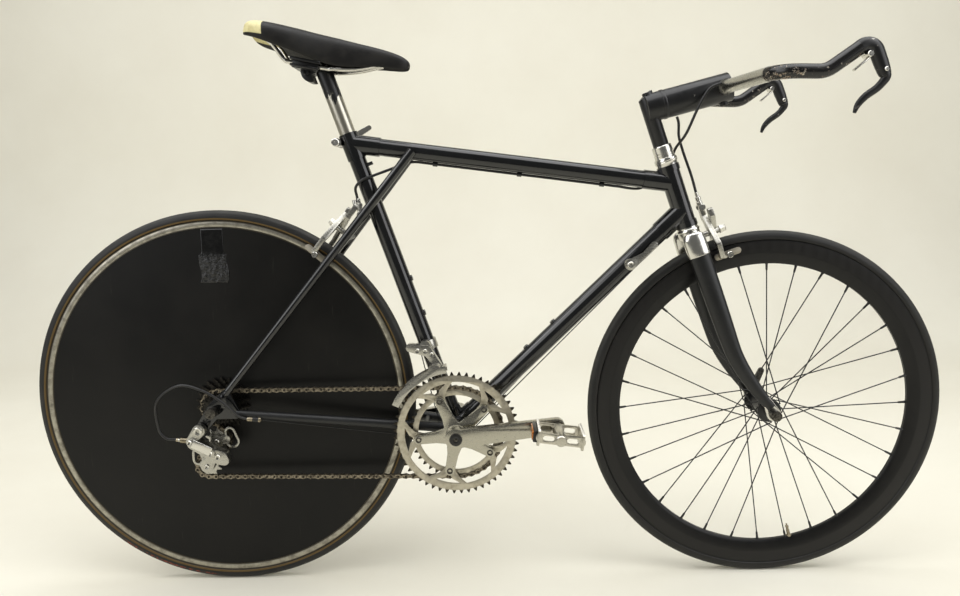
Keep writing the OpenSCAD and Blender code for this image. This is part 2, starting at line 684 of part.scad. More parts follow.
module rear_axle() color(steel) placed() {
  out = dropout_y + dropout_t;
  across(rear_hub, -out - 8, out + 8, rear_axle_r);
  for (side = [-1, 1]) scale([1, side, 1]) across(rear_hub, dropout_y - 4, dropout_y, 9);
  across(rear_hub, -out - 14, -out, 9);
  across(rear_hub, out, out + 14, 10);
  plate(out + 6, out + 12) link2d(rear_hub, rear_hub + [46, 24], 7, 5);
}

// Chain: a closed loop round the inner ring, the sprocket and the two pulleys.
// Wheels it runs round: [centre, radius, +1 if it turns with the chainring]
chain_wheels = [
  [bb, pitch_r(inner_teeth), 1],
  [tension_pulley, pulley_r, 1],
  [guide_pulley, pulley_r, -1],
  [rear_hub, pitch_r(sprockets[chain_sprocket]), 1]];
// Points where the chain leaves wheel a and reaches wheel b.
function tangent(a, b) =
  let (d = b[0] - a[0], base = atan2(d[1], d[0]), s = a[2],
    lean = acos((a[1] - s * b[2] * b[1]) / norm(d)), ang = base + s * lean)
    [a[0] + a[1] * [cos(ang), sin(ang)], b[0] + s * b[2] * b[1] * [cos(ang), sin(ang)]];
function angle_of(c, p) = atan2(p[1] - c[1], p[0] - c[0]);
// Chain travel is clockwise seen from the right; a wheel's arc runs from where it arrives to where it leaves.
function wheel_arc(i) =
  let (n = len(chain_wheels), w = chain_wheels[i],
    a0 = angle_of(w[0], tangent(chain_wheels[(i + n - 1) % n], w)[1]),
    a1 = angle_of(w[0], tangent(w, chain_wheels[(i + 1) % n])[0]),
    sweep = w[2] > 0 ? -((a0 - a1 + 720) % 360) : (a1 - a0 + 720) % 360,
    steps = max(2, ceil(abs(sweep) * w[1] * PI / 180 / pitch)))
    arc_points(w[0], w[1], a0, a0 + sweep, steps);
// Pins of the chain, about a pitch apart on the straight runs and round the wheels.
function run_pins(run) = let (n = max(1, round(norm(run[1] - run[0]) / pitch)))
  [for (k = [1:1:n - 1]) run[0] + (run[1] - run[0]) * k / n];
chain_pins = [for (i = [0:len(chain_wheels) - 1])
  each concat(wheel_arc(i), run_pins(tangent(chain_wheels[i], chain_wheels[(i + 1) % len(chain_wheels)])))];
chain_h = 8.6;
chain_waist = 5.4;
chain_plate_t = 1.6;
// One edge of the side plates: swollen round the pins and waisted between them.
function chain_edge(side) = let (n = len(chain_pins)) [for (i = [0:n - 1])
  let (last = chain_pins[(i + n - 1) % n], p = chain_pins[i], next = chain_pins[(i + 1) % n],
    along = unit(next - last), out = side * turn(along), gap_out = side * turn(unit(next - p)))
    each [p - 1.9 * along + chain_h / 2 * out, p + 1.9 * along + chain_h / 2 * out,
      (p + next) / 2 + chain_waist / 2 * gap_out]];
module chain_band() difference() {
  polygon(chain_edge(1));
  polygon(chain_edge(-1));
}
module chain() color(steel) placed() {
  for (y = [-chain_y - chain_w / 2, -chain_y + chain_w / 2 - chain_plate_t])
    plate(y, y + chain_plate_t) chain_band();
}

// Cable routes: points picked along the tubes, in frame coordinates.
housing_r = cable_r - 0.2;
// Points on a brake's cable barrel, u along it from the arm.
function rear_barrel(u) = p3(bridge + (rear_arm_x + arm_t / 2 + u * sin(rear_barrel_tilt)) * turn(stay_dir)
  + (rear_anchor_z + u * cos(rear_barrel_tilt)) * stay_dir, -barrel_y);
function front_barrel(u) =
  p3(steer_at(front_arm_x + arm_t / 2, front_brake_z + front_anchor_z + u), barrel_y);
brake_cable_route = concat(
  [p3(steer_at(5, head_top - 4), 25), p3(head_joint + [-23, 8], 24), p3(head_joint + [-53, -8], 15)],
  [for (u = [0.831, 0.801, 0.775, 0.664, 0.518, 0.386, 0.256, 0.237]) p3(under_top(u))],
  [p3(seat_joint + [98, -33], -2), p3(seat_joint + [62, -45], -12), p3(seat_joint + [34, -55], -20),
    p3(seat_joint + [18, -61], -21), p3(seat_joint + [6, -73], -16),
    rear_barrel(barrel_l + 8), rear_barrel(barrel_l + 0.1)]);
module rear_brake_housing() color(rubber) placed() cord(brake_cable_route, housing_r, 5);
gear_stop = p3(rear_hub + [66, -14.5], -dropout_y - 5.5);
gear_stop_end = gear_stop + [12, 1.5, -1.5];
// The loop behind the dropout: [back and up from the hub, out from the dropout]
gear_loop = [[46, -6, 14], [28, 16, 21], [-5, 40, 23], [-48, 50, 21], [-88, 22, 17], [-90, -24, 14],
  [-80, -42, 13]];
gear_loop_route = concat(
  [gear_stop - 0.02 * (gear_stop_end - gear_stop), gear_stop - 0.5 * (gear_stop_end - gear_stop)],
  [for (g = gear_loop) p3(rear_hub + [g[0], g[1]], -dropout_y - g[2])],
  [p3(adjuster_end + [-7, 1], -adjuster_y), p3(adjuster_end + [-0.3, 0], -adjuster_y)]);
wire_r = 0.8;
shifter_at = bb + shifter_s * down_dir;
guide_z = bb_shell_r + 6;
rear_wire_route = [p3(shifter_at + [7.5, -7.5], -26), p3(bb + [7, -guide_z], -9), p3(bb + [-3, -guide_z], -9),
  gear_stop_end + [0.6, 0, -0.1]];
front_wire_route = [p3(shifter_at + [7.5, -7.5], 26), p3(bb + [7, -guide_z], 7), p3(bb + [-11, -guide_z], 2),
  p3(bb + [-27, 7 - guide_z], -6), p3(bb + [-57, 134], -30)];
module gear_cables() color(rubber) placed() {
  cord(gear_loop_route, housing_r, 5);
  for (route = [rear_wire_route, front_wire_route]) tube(route, [for (p = route) wire_r], 8);
}

// Steering

blade_y = 33;
blade_flat = 0.57;
blade_deep = 17.5;
blade_taper = 9;
blade_set_back = 3;
blade_top_z = crown_top - 6;
blade_bend_z = 130;
blade_steps = 12;
function blade_point(t, side) =
  let (z = blade_top_z * (1 - t) + 12 * t, bend = max(0, 1 - z / blade_bend_z))
    [fork_rake * pow(bend, 1.6) * 1.15 - blade_set_back * (1 - t),
      side * (blade_y + (fork_end_y + dropout_t / 2 - blade_y) * t), z];
// The crown's oval sockets, which the flattened blades are brazed under.
socket_foot_z = crown_top - 35;
socket_h = 33;
socket_half = 8;
socket_r = 10.8;
module fork_crown() color(silver) placed() steer_frame() difference() {
  union() {
    translate([0, 0, crown_top - 18]) cylinder(h = nut_top - crown_top + 18, r = steerer_r);
    translate([0, 0, crown_top]) cylinder(h = headset_low_h - cup_h - 0.4, r = head_tube_r + 1.5);
    translate([0, -blade_y, crown_top - 9]) rotate([-90, 0, 0]) cylinder(h = 2 * blade_y, r = crown_r);
    for (side = [-1, 1]) translate([-blade_set_back, side * (blade_y + 1), socket_foot_z])
      linear_extrude(socket_h) link2d([-socket_half, 0], [socket_half, 0], socket_r, socket_r);
  }
  translate([fork_rake, -rim_w, 0]) rotate([-90, 0, 0]) cylinder(h = 2 * rim_w, r = front_r + 5.5);
}
module fork_end_plates(extra) {
  for (side = [-1, 1]) scale([1, side, 1])
    plate(fork_end_y - extra, fork_end_y + dropout_t + extra)
      link2d([fork_rake, 0], [fork_rake - 4, 26], 12, 7);
}
blade_start = (blade_top_z - socket_foot_z) / (blade_top_z - 12);
blade_shares = [for (i = [0:blade_steps]) blade_start + (1 - blade_start) * i / blade_steps];
// A blade's middle line, level where it meets the socket.
function blade_path(side) = [for (i = [0:blade_steps]) let (p = blade_point(blade_shares[max(i, 1)], side))
  [p[0], p[1] / blade_flat, i == 0 ? socket_foot_z - 0.1 : p[2]]];
module fork_blades() color(paint_black) placed() steer_frame() difference() {
  for (side = [-1, 1]) scale([1, blade_flat, 1])
    tube(blade_path(side), [for (t = blade_shares) blade_deep - blade_taper * pow(t, 2.2)], 24);
  fork_end_plates(seat_fit);
}
module fork_ends() color(silver) placed() steer_frame() difference() {
  fork_end_plates(0);
  translate([fork_rake, -front_old, 0]) rotate([-90, 0, 0])
    cylinder(h = 2 * front_old, r = front_axle_r + seat_fit);
}
module headset_nut() color(silver) placed() steer_frame() difference() {
  translate([0, 0, head_top + cup_h + 0.4]) {
    cylinder(h = 5, r1 = head_tube_r + 2, r2 = head_tube_r + 1);
    cylinder(h = 14, r = head_tube_r - 1);
    cylinder(h = headset_h - cup_h - 0.4, r = head_tube_r - 2.5);
  }
  cylinder(h = nut_top + 10, r = steerer_r + seat_fit);
}
stem_back = 128;
stem_front = 12;
module stem() color(satin_black) placed() difference() {
  steer_frame() difference() {
    union() {
      translate([0, 0, nut_top + 0.05]) cylinder(h = stem_rise + 37, r = quill_r);
      translate([stem_reach, 0, stem_z]) rotate([0, 90 + stem_fall, 0]) translate([0, 0, -stem_back])
        cylinder(h = stem_back + stem_front, r = stem_r);
    }
    // The quill's top slopes down to its back.
    translate([-quill_r - 1, -30, stem_z + 26]) rotate([0, -28, 0]) cube([60, 60, 40]);
  }
  across(bar_at, -60, 60, bar_clamp_r + seat_fit);
}
bar_at = steer_at(stem_reach, stem_z);
bar_elbow = 20;
bar_straight = bar_half_w - bar_bend_r * (1 - sin(bar_sweep));
sweep_x = (bar_straight - bar_elbow) * tan(bar_sweep);
bar_clamp_r = bar_r + 1.7;
bar_clamp_half = stem_r + 3.5;
module handlebar() color(silver) placed() {
  across(bar_at, -bar_clamp_half, bar_clamp_half, bar_clamp_r);
  for (side = [-1, 1])
    rod(p3(bar_at, side * bar_elbow), p3(bar_at + [sweep_x, 0], side * bar_straight), bar_r);
}
// Side-plane points along a horn, from the bend to the lever
horn_run = [cos(horn_drop), -sin(horn_drop)];
horn_end_run = [cos(horn_rise), sin(horn_rise)];
bend_start = bar_at + [sweep_x, 0];
horn_start = bend_start + bar_bend_r * cos(bar_sweep) * horn_run;
horn_bend = horn_start + horn_l * horn_run;
horn_bend_c = horn_bend + bar_bend_r * [sin(horn_drop), cos(horn_drop)];
horn_up = horn_bend_c + bar_bend_r * [sin(horn_rise), -cos(horn_rise)];
horn_tip = horn_up + horn_end_l * horn_end_run;
horn_r = bar_r - 0.6;
horn_sides = 24;
bend_steps = 9;
sweep_dir = [sin(bar_sweep), cos(bar_sweep), 0];
horn_path = concat(
  [p3(bend_start, bar_straight) + seat_fit * sweep_dir, p3(bend_start, bar_straight) + sweep_dir],
  [for (k = [1:bend_steps]) let (a = bar_sweep + (90 - bar_sweep) * k / bend_steps)
    p3(bend_start + bar_bend_r * (cos(bar_sweep) - cos(a)) * horn_run,
      bar_straight + bar_bend_r * (sin(a) - sin(bar_sweep)))],
  [for (k = [0:5]) let (a = (horn_rise + horn_drop) * k / 5 - horn_drop)
    p3(horn_bend_c + bar_bend_r * [sin(a), -cos(a)], bar_half_w)],
  [p3(horn_tip, bar_half_w)]);
module bar_horns() color(satin_black) placed() for (side = [-1, 1]) scale([1, side, 1])
  tube(horn_path, [for (p = horn_path) horn_r], horn_sides, [0, 0, 1]);

// Brake levers, from the end of a horn: [forward, up, radius].
// A hood turns down from the horn's line in an arc, and the blade starts below its pivot.
hood_r = 10.6;
hood_turn_r = 14;
hood_fall = 67.4;
hood_steps = 8;
hood_neck = 3 * horn_end_run;
hood_c = hood_neck + hood_turn_r * [sin(horn_rise), -cos(horn_rise)];
hood_arc = [for (k = [0:hood_steps]) let (h = horn_rise - (horn_rise + hood_fall) * k / hood_steps)
  hood_c + hood_turn_r * [-sin(h), cos(h)]];
hood_rows = concat([concat(0.45 * horn_end_run, [hood_r])], [for (q = hood_arc) concat(q, [hood_r])],
  [[30, -20.8, 10.2], [34.5, -31.7, 9.4], [36.7, -37, 8.4]]);
blade_rows = [[36.85, -37.36, 8.1], [37.55, -40.05, 7.4], [35.9, -45, 6.2], [26.5, -55.5, 5.6],
  [11.5, -66, 5.4], [1, -77.5, 4.4], [-3.5, -89, 2.4]];
lever_flat = 0.84;
module lever_tube(rows) translate([0, bar_half_w, 0]) scale([1, lever_flat, 1])
  tube([for (q = rows) p3(horn_tip + [q[0], q[1]])], [for (q = rows) q[2]], 16);
module lever_hoods() color(satin_black) placed() for (side = [-1, 1]) scale([1, side, 1])
  lever_tube(hood_rows);
module lever_blades() color(satin_black) placed() for (side = [-1, 1]) scale([1, side, 1])
  lever_tube(smooth(blade_rows, 4));

module front_brake() color(silver) placed() steer_frame() translate([0, 0, front_brake_z])
  calliper(steerer_r + seat_fit, front_arm_x, front_pad_drop, front_anchor_z, 0);
module front_brake_pads() color(rubber) placed() steer_frame() translate([0, 0, front_brake_z])
  pads(front_pad_drop, front_pad_x);
module front_axle() color(steel) placed() {
  out = fork_end_y + dropout_t;
  across(front_hub_at, -out - 8, out + 8, front_axle_r);
  for (side = [-1, 1]) scale([1, side, 1]) across(front_hub_at, fork_end_y - 4, fork_end_y, 8);
  across(front_hub_at, -out - 13, -out, 9);
  across(front_hub_at, out, out + 13, 9.5);
  plate(out + 6, out + 12) link2d(front_hub_at, front_hub_at + [20, 46], 7, 5);
}
function stem_under(x) = stem_z + (stem_reach - x) * tan(stem_fall) - stem_r / cos(stem_fall);
front_cable_route = [p3(steer_at(40, stem_under(40) - 1.2), 3), p3(steer_at(40, stem_under(40) - 12), 5),
  p3(steer_at(35, nut_top + 6), 8), p3(steer_at(34, nut_top - 11), 9), p3(steer_at(34, head_top + 3), 9),
  p3(steer_at(35, head_top - 29), 9), front_barrel(barrel_l + 9), front_barrel(barrel_l + 0.1)];
module front_brake_housing() color(rubber) placed() cord(front_cable_route, housing_r, 6);
loop_route = [p3(bar_at + [-10, 4.6], -31), p3(bar_at + [-29, -4], -30), p3(bar_at + [-46, -33], -28),
  p3(steer_at(40, nut_top + 5), -20), p3(steer_at(23, nut_top - 12), 4), p3(steer_at(17, head_top + 9), 20)];
module rear_housing_loop() color(rubber) placed() cord(loop_route, housing_r, 6);

// Front wheel

front_tyre_r = front_tyre_w / 2;
module front_tyre() color(rubber) placed() ring_at(front_hub_at) difference() {
  translate([front_r - front_tyre_r, 0]) circle(front_tyre_r);
  translate([0, -front_tyre_w]) square([front_seat_r + seat_fit, 2 * front_tyre_w]);
}
module front_rim() color(satin_black) placed() ring_at(front_hub_at)
  polygon([[front_rim_in_r, -2.5], [front_rim_in_r + 6, -6], [front_seat_r - 22, -rim_w / 2],
    [front_seat_r, -rim_w / 2], [front_seat_r, rim_w / 2], [front_seat_r - 22, rim_w / 2],
    [front_rim_in_r + 6, 6], [front_rim_in_r, 2.5]]);
flange_y = 33;
spoke_cross = 70;
module front_spokes() color(rubber) placed() for (i = [0:spoke_n - 1]) {
  side = i % 2 == 0 ? 1 : -1;
  lead = floor(i / 2) % 2 == 0 ? 1 : -1;
  a = 360 * i / spoke_n;
  b = a - lead * spoke_cross;
  rod(p3(front_hub_at + (front_flange_r + spoke_d / 2 + 0.3) * [cos(b), sin(b)], side * flange_y),
    p3(front_hub_at + (front_rim_in_r - 0.4) * [cos(a), sin(a)], side * 1.5), spoke_d / 2);
}
module front_hub() color(satin_black) placed() ring_at(front_hub_at) difference() {
  union() {
    translate([0, -fork_end_y + 4.4]) square([9, front_old - 8.8]);
    translate([0, -flange_y]) square([13, 2 * flange_y]);
    for (y = [-flange_y - 2, flange_y - 2]) translate([0, y]) square([front_flange_r, 4]);
  }
  translate([0, -front_old]) square([front_axle_r + run_fit, 2 * front_old]);
}

// Rear wheel

rear_tyre_r = rear_tyre_w / 2;
module rear_tyre() color(rubber) placed() ring_at(rear_hub) difference() {
  translate([rear_r - rear_tyre_r, 0]) circle(rear_tyre_r);
  translate([0, -rear_tyre_w]) square([rear_seat_r + seat_fit, 2 * rear_tyre_w]);
}
module rear_rim() color(silver) placed() ring_at(rear_hub)
  translate([rear_rim_in_r, -rim_w / 2]) square([rear_seat_r - rear_rim_in_r, rim_w]);
disc_hub_r = 20;
disc_right_y = -20;
disc_left_y = 34;
module rear_disc() color(satin_black) placed() ring_at(rear_hub)
  polygon([[disc_hub_r + seat_fit, disc_right_y], [rear_rim_in_r - seat_fit, -rim_w / 2 + 0.5],
    [rear_rim_in_r - seat_fit, rim_w / 2 - 0.5], [disc_hub_r + seat_fit, disc_left_y]]);
freehub_r = 16;
module rear_hub() color(steel) placed() ring_at(rear_hub) difference() {
  union() {
    translate([0, disc_right_y - 1]) square([disc_hub_r, disc_left_y - disc_right_y + 2]);
    translate([0, -dropout_y + 4.4]) square([freehub_r - 4, rear_old - 8.8]);
    translate([0, sprocket_y(0) - 2]) square([freehub_r, disc_right_y - sprocket_y(0) + 2]);
  }
  translate([0, -rear_old]) square([rear_axle_r + run_fit, 2 * rear_old]);
}
function sprocket_y(k) = -chain_y + sprocket_gap * (k - chain_sprocket);
sprocket_t = 1.8;
module cassette() color(steel) placed() difference() {
  union() {
    for (k = [0:len(sprockets) - 1])
      plate(sprocket_y(k) - sprocket_t / 2, sprocket_y(k) + sprocket_t / 2)
        translate(rear_hub) toothed(sprockets[k], 2.6);
    across(rear_hub, sprocket_y(0) - 1, sprocket_y(len(sprockets) - 1), freehub_r + 3);
  }
  across(rear_hub, -rear_old, rear_old, freehub_r + seat_fit);
}

// Cranks

ring_t = 2.4;
ring_arms = 5;
arm_inner_y = ring_y[0] - ring_t / 2;
crank_t = 13;
crank_y = 68;
module at_arms() for (k = [0:ring_arms - 1])
  translate(bb) rotate(crank_angle + 180 + 360 * k / ring_arms) children();
ring_bolt_r = 5;
ring_tab_r = 8.5;
outer_in_r = pitch_r(outer_teeth) - 14.5;
inner_in_r = ring_bolt_d / 2 + 1;
// A web joins each bolt tab to the outer ring; its sides are hollow and it has a window.
web_x = 60;
web_half = 33;
web_end_x = sqrt(outer_in_r * outer_in_r - web_half * web_half);
window_x = 75;
window_angle = 14;
function web_side(side) = [for (t = [0:0.2:1])
  [web_x + (web_end_x - web_x) * t, side * (ring_tab_r + (web_half - ring_tab_r) * t * t)]];
function turned(points, a) =
  [for (q = points) [q[0] * cos(a) - q[1] * sin(a), q[0] * sin(a) + q[1] * cos(a)]];
function backwards(points) = [for (i = [len(points) - 1:-1:0]) points[i]];
module ring_gap2d() {
  step = 360 / ring_arms;
  edge = asin(web_half / outer_in_r);
  near = concat([[ring_bolt_d / 2 - 16, ring_tab_r]], web_side(1));
  far = concat([[ring_bolt_d / 2 - 16, -ring_tab_r]], web_side(-1));
  polygon(concat(near, arc_points([0, 0], outer_in_r, edge + 2, step - edge - 2, 10),
    backwards(turned(far, step))));
}
module window2d() polygon(concat(arc_points([0, 0], outer_in_r - 1.5, -window_angle, window_angle, 8),
  [[window_x + 6, 6.5], [window_x, 2.5], [window_x, -2.5], [window_x + 6, -6.5]]));
module ring_plate(y) plate(y - ring_t / 2, y + ring_t / 2) children();
module ring_bolts2d() at_arms() translate([ring_bolt_d / 2, 0]) circle(ring_bolt_r + seat_fit);
module outer_chainring() color(silver) placed() ring_plate(ring_y[0]) difference() {
  translate(bb) rotate(crank_angle) toothed(outer_teeth, 2.8);
  translate(bb) circle(ring_bolt_d / 2 - ring_tab_r);
  at_arms() ring_gap2d();
  at_arms() window2d();
  ring_bolts2d();
}
module inner_chainring() color(silver) placed() ring_plate(ring_y[1]) difference() {
  union() {
    difference() {
      translate(bb) rotate(crank_angle) toothed(inner_teeth, 2.8);
      translate(bb) circle(inner_in_r);
    }
    at_arms() link2d([ring_bolt_d / 2, 0], [inner_in_r + 3, 0], ring_tab_r, ring_tab_r - 0.5);
  }
  ring_bolts2d();
}
bolt_cap_r = 10.5;
module crank_right() color(silver) placed() difference() {
  union() {
    plate(arm_inner_y - 9, arm_inner_y - 0.02) at_arms()
      links2d([[[0, 0], 17], [[34, 0], 9.6], [[ring_bolt_d / 2, 0], 8]]);
    plate(-crank_y - crank_t, -crank_y) link2d(bb, pedal_right_at, 15.5, 13);
    across(bb, -crank_y - crank_t, arm_inner_y - 0.02, 18);
    for (k = [0:ring_arms - 1]) {
      a = crank_angle + 180 + 360 * k / ring_arms;
      across(bb + ring_bolt_d / 2 * [cos(a), sin(a)], arm_inner_y - 5, ring_y[1] + ring_t / 2 + 1.5,
        ring_bolt_r);
    }
  }
  across(bb, -crank_y, 0, spindle_r + seat_fit);
  across(pedal_right_at, -200, 0, pedal_axle_r + seat_fit);
}
module crank_left() color(silver) placed() difference() {
  union() {
    plate(crank_y, crank_y + crank_t) link2d(bb, pedal_left_at, 15.5, 13);
    across(bb, crank_y - 22, crank_y + crank_t, 15);
  }
  across(bb, 0, crank_y, spindle_r + seat_fit);
  across(pedal_left_at, 0, 200, pedal_axle_r + seat_fit);
}
module crank_spindle() color(steel) placed() {
  across(bb, -crank_y + 0.1, crank_y - 0.1, spindle_r);
  for (side = [-1, 1]) scale([1, side, 1])
    across(bb, crank_y + crank_t + seat_fit, crank_y + crank_t + 2, bolt_cap_r);
}
pedal_y = crank_y + crank_t + 7;
module pedal_axles() color(steel) placed() {
  for (side = [-1, 1]) {
    at = side < 0 ? pedal_right_at : pedal_left_at;
    scale([1, side, 1]) {
      across(at, crank_y, pedal_y + pedal_w - 6, pedal_axle_r);
      across(at, crank_y + crank_t + 0.05, crank_y + crank_t + 5, 8);
    }
  }
}
// Pedal: a barrel on the axle, a toothed cage plate in front and behind, and side plates with windows.
cage_plate_t = 4;
pedal_h = 22;
pedal_teeth = 6;
module cage_plate2d() {
  step = pedal_w / pedal_teeth;
  top = [for (i = [0:pedal_teeth - 1])
    each [[(i + 0.1) * step, 0], [(i + 0.5) * step, 3], [(i + 0.9) * step, 0]]];
  polygon(concat([for (q = top) q + [0, pedal_h / 2]],
    [for (i = [len(top) - 1:-1:0]) [top[i][0], -top[i][1] - pedal_h / 2]]));
}
module side_plate2d() difference() {
  link2d([-pedal_l / 2 + 6, 0], [pedal_l / 2 - 6, 0], 8.5, 8.4);
  for (s = [-1, 1]) link2d([s * 14, 0], [s * 24, 0], 4.5, 4.4);
}
module pedal(at) translate(p3(at)) rotate([0, pedal_tilt, 0]) difference() {
  union() {
    across([0, 0], pedal_y, pedal_y + pedal_w, 9.5);
    for (x = [-pedal_l / 2, pedal_l / 2 - cage_plate_t])
      translate([x, pedal_y, 0]) rotate([90, 0, 90]) linear_extrude(cage_plate_t) cage_plate2d();
    for (y = [pedal_y + 3, pedal_y + pedal_w - 7]) plate(y, y + 4) side_plate2d();
  }
  across([0, 0], 0, pedal_y + pedal_w - 5.5, pedal_axle_r + run_fit);
}
module pedal_right() color(silver) placed() scale([1, -1, 1]) pedal(pedal_right_at);
module pedal_left() color(silver) placed() pedal(pedal_left_at);

head_tube();
top_tube();
down_tube();
seat_tube();
bottom_bracket();
seat_stays();
chain_stays();
stay_bridges();
rear_dropouts();
headset_cups();
seat_post();
saddle_clamp();
saddle_rails();
saddle();
seat_binder();
front_derailleur();
rear_derailleur();
derailleur_cage();
shift_levers();
rear_brake();
rear_brake_pads();
rear_axle();
chain();
rear_brake_housing();
gear_cables();
fork_crown();
fork_blades();
fork_ends();
headset_nut();
stem();
handlebar();
bar_horns();
lever_hoods();
lever_blades();
front_brake();
front_brake_pads();
front_axle();
front_brake_housing();
rear_housing_loop();
front_tyre();
front_rim();
front_spokes();
front_hub();
rear_tyre();
rear_rim();
rear_disc();
rear_hub();
cassette();
crank_right();
outer_chainring();
inner_chainring();
crank_left();
crank_spindle();
pedal_axles();
pedal_right();
pedal_left();
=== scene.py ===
import json
import math

import bmesh
import bpy
from mathutils import Matrix, Vector, noise


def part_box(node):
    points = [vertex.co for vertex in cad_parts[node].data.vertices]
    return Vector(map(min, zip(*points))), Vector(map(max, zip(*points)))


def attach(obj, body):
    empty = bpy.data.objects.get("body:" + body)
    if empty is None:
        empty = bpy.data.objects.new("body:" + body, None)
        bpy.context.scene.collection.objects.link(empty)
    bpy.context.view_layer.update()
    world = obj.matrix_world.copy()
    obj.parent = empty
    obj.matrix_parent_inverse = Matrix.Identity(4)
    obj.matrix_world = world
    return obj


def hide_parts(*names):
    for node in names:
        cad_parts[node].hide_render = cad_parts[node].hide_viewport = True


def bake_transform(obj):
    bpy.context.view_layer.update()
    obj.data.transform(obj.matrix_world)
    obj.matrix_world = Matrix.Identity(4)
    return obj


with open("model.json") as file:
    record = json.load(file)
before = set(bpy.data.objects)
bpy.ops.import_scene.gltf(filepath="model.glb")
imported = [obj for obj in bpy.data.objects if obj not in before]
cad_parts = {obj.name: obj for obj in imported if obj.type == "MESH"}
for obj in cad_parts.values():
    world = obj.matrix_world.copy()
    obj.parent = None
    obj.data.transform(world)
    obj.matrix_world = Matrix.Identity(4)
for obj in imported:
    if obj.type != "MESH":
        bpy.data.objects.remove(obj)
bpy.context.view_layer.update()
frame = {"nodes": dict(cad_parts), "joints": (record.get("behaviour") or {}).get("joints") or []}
nodes = frame["nodes"]

# Camera: it stands where the photograph was taken, looking a little down at the right side.
# Places are given in millimetres from the rear tyre's footprint, forward, left and up.
rear_hub = Vector(next(j for j in frame["joints"] if j["name"] == "rear_wheel_spin")["pos_m"])
footprint = Vector((rear_hub.x, 0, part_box("rear_tyre")[0].z))


def at(x, y, z):
    """A point in millimetres from the rear tyre's footprint, in the frame's metres."""
    return Vector((x, y, z)) / 1000 + footprint


PHOTO_WIDTH, FOCAL_PIXELS, ROLL = 960, 724.5, -1.39
lens = bpy.data.cameras.new("camera")
lens.sensor_width = 36
lens.lens = lens.sensor_width * FOCAL_PIXELS / PHOTO_WIDTH
camera = bpy.data.objects.new("camera", lens)
bpy.context.scene.collection.objects.link(camera)
level = Vector((-0.01715, 0.98893, -0.14737)).to_track_quat("-Z", "Y").to_matrix()
camera.matrix_world = (Matrix.Translation(at(473.2, -1239.0, 691.4))
                       @ (level @ Matrix.Rotation(math.radians(ROLL), 3, "Z")).to_4x4())
bpy.context.scene.camera = camera

# Frame: steel tubes brazed into lugs, with the seat stays running past the seat tube to the top tube.
# It is sprayed black and stoved, so it is deep and wet looking, with a few chips down to grey primer.


def linear(code):
    """The linear colour of an sRGB hex value."""
    parts = [int(code[i:i + 2], 16) / 255 for i in (1, 3, 5)]
    return [p / 12.92 if p <= 0.04045 else ((p + 0.055) / 1.055) ** 2.4 for p in parts] + [1.0]


def add(tree, kind, inputs=None, **settings):
    """Adds a shader node, sets it up, and links or fills its inputs."""
    node = tree.nodes.new("ShaderNode" + kind)
    for key, value in settings.items():
        setattr(node, key, value)
    for key, value in (inputs or {}).items():
        if isinstance(value, bpy.types.NodeSocket):
            tree.links.new(value, node.inputs[key])
        else:
            node.inputs[key].default_value = value
    return node


def start_material(name):
    """An empty material: itself, its node tree, and Object coordinates in millimetres."""
    finish = bpy.data.materials.new(name)
    finish.use_nodes = True
    tree = finish.node_tree
    tree.nodes.clear()
    coords = add(tree, "TexCoord")
    mm = add(tree, "VectorMath", {0: coords.outputs["Object"], 1: (1000, 1000, 1000)},
             operation="MULTIPLY").outputs[0]
    return finish, tree, mm


def patches(tree, mm, size, low, high, detail=6):
    """A mask of blotches about size mm wide: 0 below the noise value low, 1 above high."""
    cloud = add(tree, "TexNoise", {"Vector": mm, "Scale": 1 / size, "Detail": detail, "Roughness": 0.6})
    return add(tree, "MapRange",
               {"Value": cloud.outputs["Fac"], "From Min": low, "From Max": high}).outputs[0]


def mixed(tree, factor, first, second):
    """One colour or number over another by a mask."""
    kind = "RGBA" if isinstance(first, list) or getattr(first, "type", "") == "RGBA" else "FLOAT"
    a, b, out = (6, 7, 2) if kind == "RGBA" else (2, 3, 0)
    return add(tree, "Mix", {0: factor, a: first, b: second}, data_type=kind).outputs[out]


def close_material(tree, bump=None, **sockets):
    """Ends a material in one shader, with bump as (height mask, depth in mm)."""
    inputs = {key.replace("_", " "): value for key, value in sockets.items()}
    if bump:
        height, depth = bump
        inputs["Normal"] = add(tree, "Bump", {"Height": height, "Distance": depth / 1000}).outputs[0]
    shader = add(tree, "BsdfPrincipled", inputs)
    add(tree, "OutputMaterial", {"Surface": shader.outputs[0]})


def stoved_enamel(name, chip_low, chip_high, dull, coat):
    """Black enamel: a wet clear shine, dulled by dust, with chips where the noise passes two values."""
    finish, tree, mm = start_material(name)
    chips = patches(tree, mm, 4, chip_low, chip_high, 8)
    dust = patches(tree, mm, 60, 0.45, 0.8)
    ripple = patches(tree, mm, 9, 0.3, 0.7, 2)
    black = mixed(tree, dust, linear("#070809"), linear("#101112"))
    close_material(tree, Base_Color=mixed(tree, chips, black, linear("#5d5a54")),
                   Roughness=mixed(tree, dust, dull, dull + 0.15), Coat_Weight=coat, Coat_Roughness=0.05,
                   bump=(mixed(tree, chips, mixed(tree, ripple, 0.96, 1.0), 0.0), 0.04))
    return finish


def dress(names, finish):
    """Gives CAD pieces their finish."""
    for name in names:
        nodes[name].data.materials.clear()
        nodes[name].data.materials.append(finish)


def piece(name, work, finish, body, replaced=(), sharp=35):
    """Turns a bmesh in the frame's metres into an object that rides on a body, when one is given."""
    for face in work.faces:
        face.smooth = True
    for edge in work.edges:
        edge.smooth = edge.calc_face_angle(0) < math.radians(sharp)
    mesh = bpy.data.meshes.new(name)
    work.to_mesh(mesh)
    work.free()
    made = bpy.data.objects.new(name, mesh)
    bpy.context.scene.collection.objects.link(made)
    mesh.materials.append(finish)
    if body:
        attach(made, body)
    if replaced:
        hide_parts(*replaced)
    return made


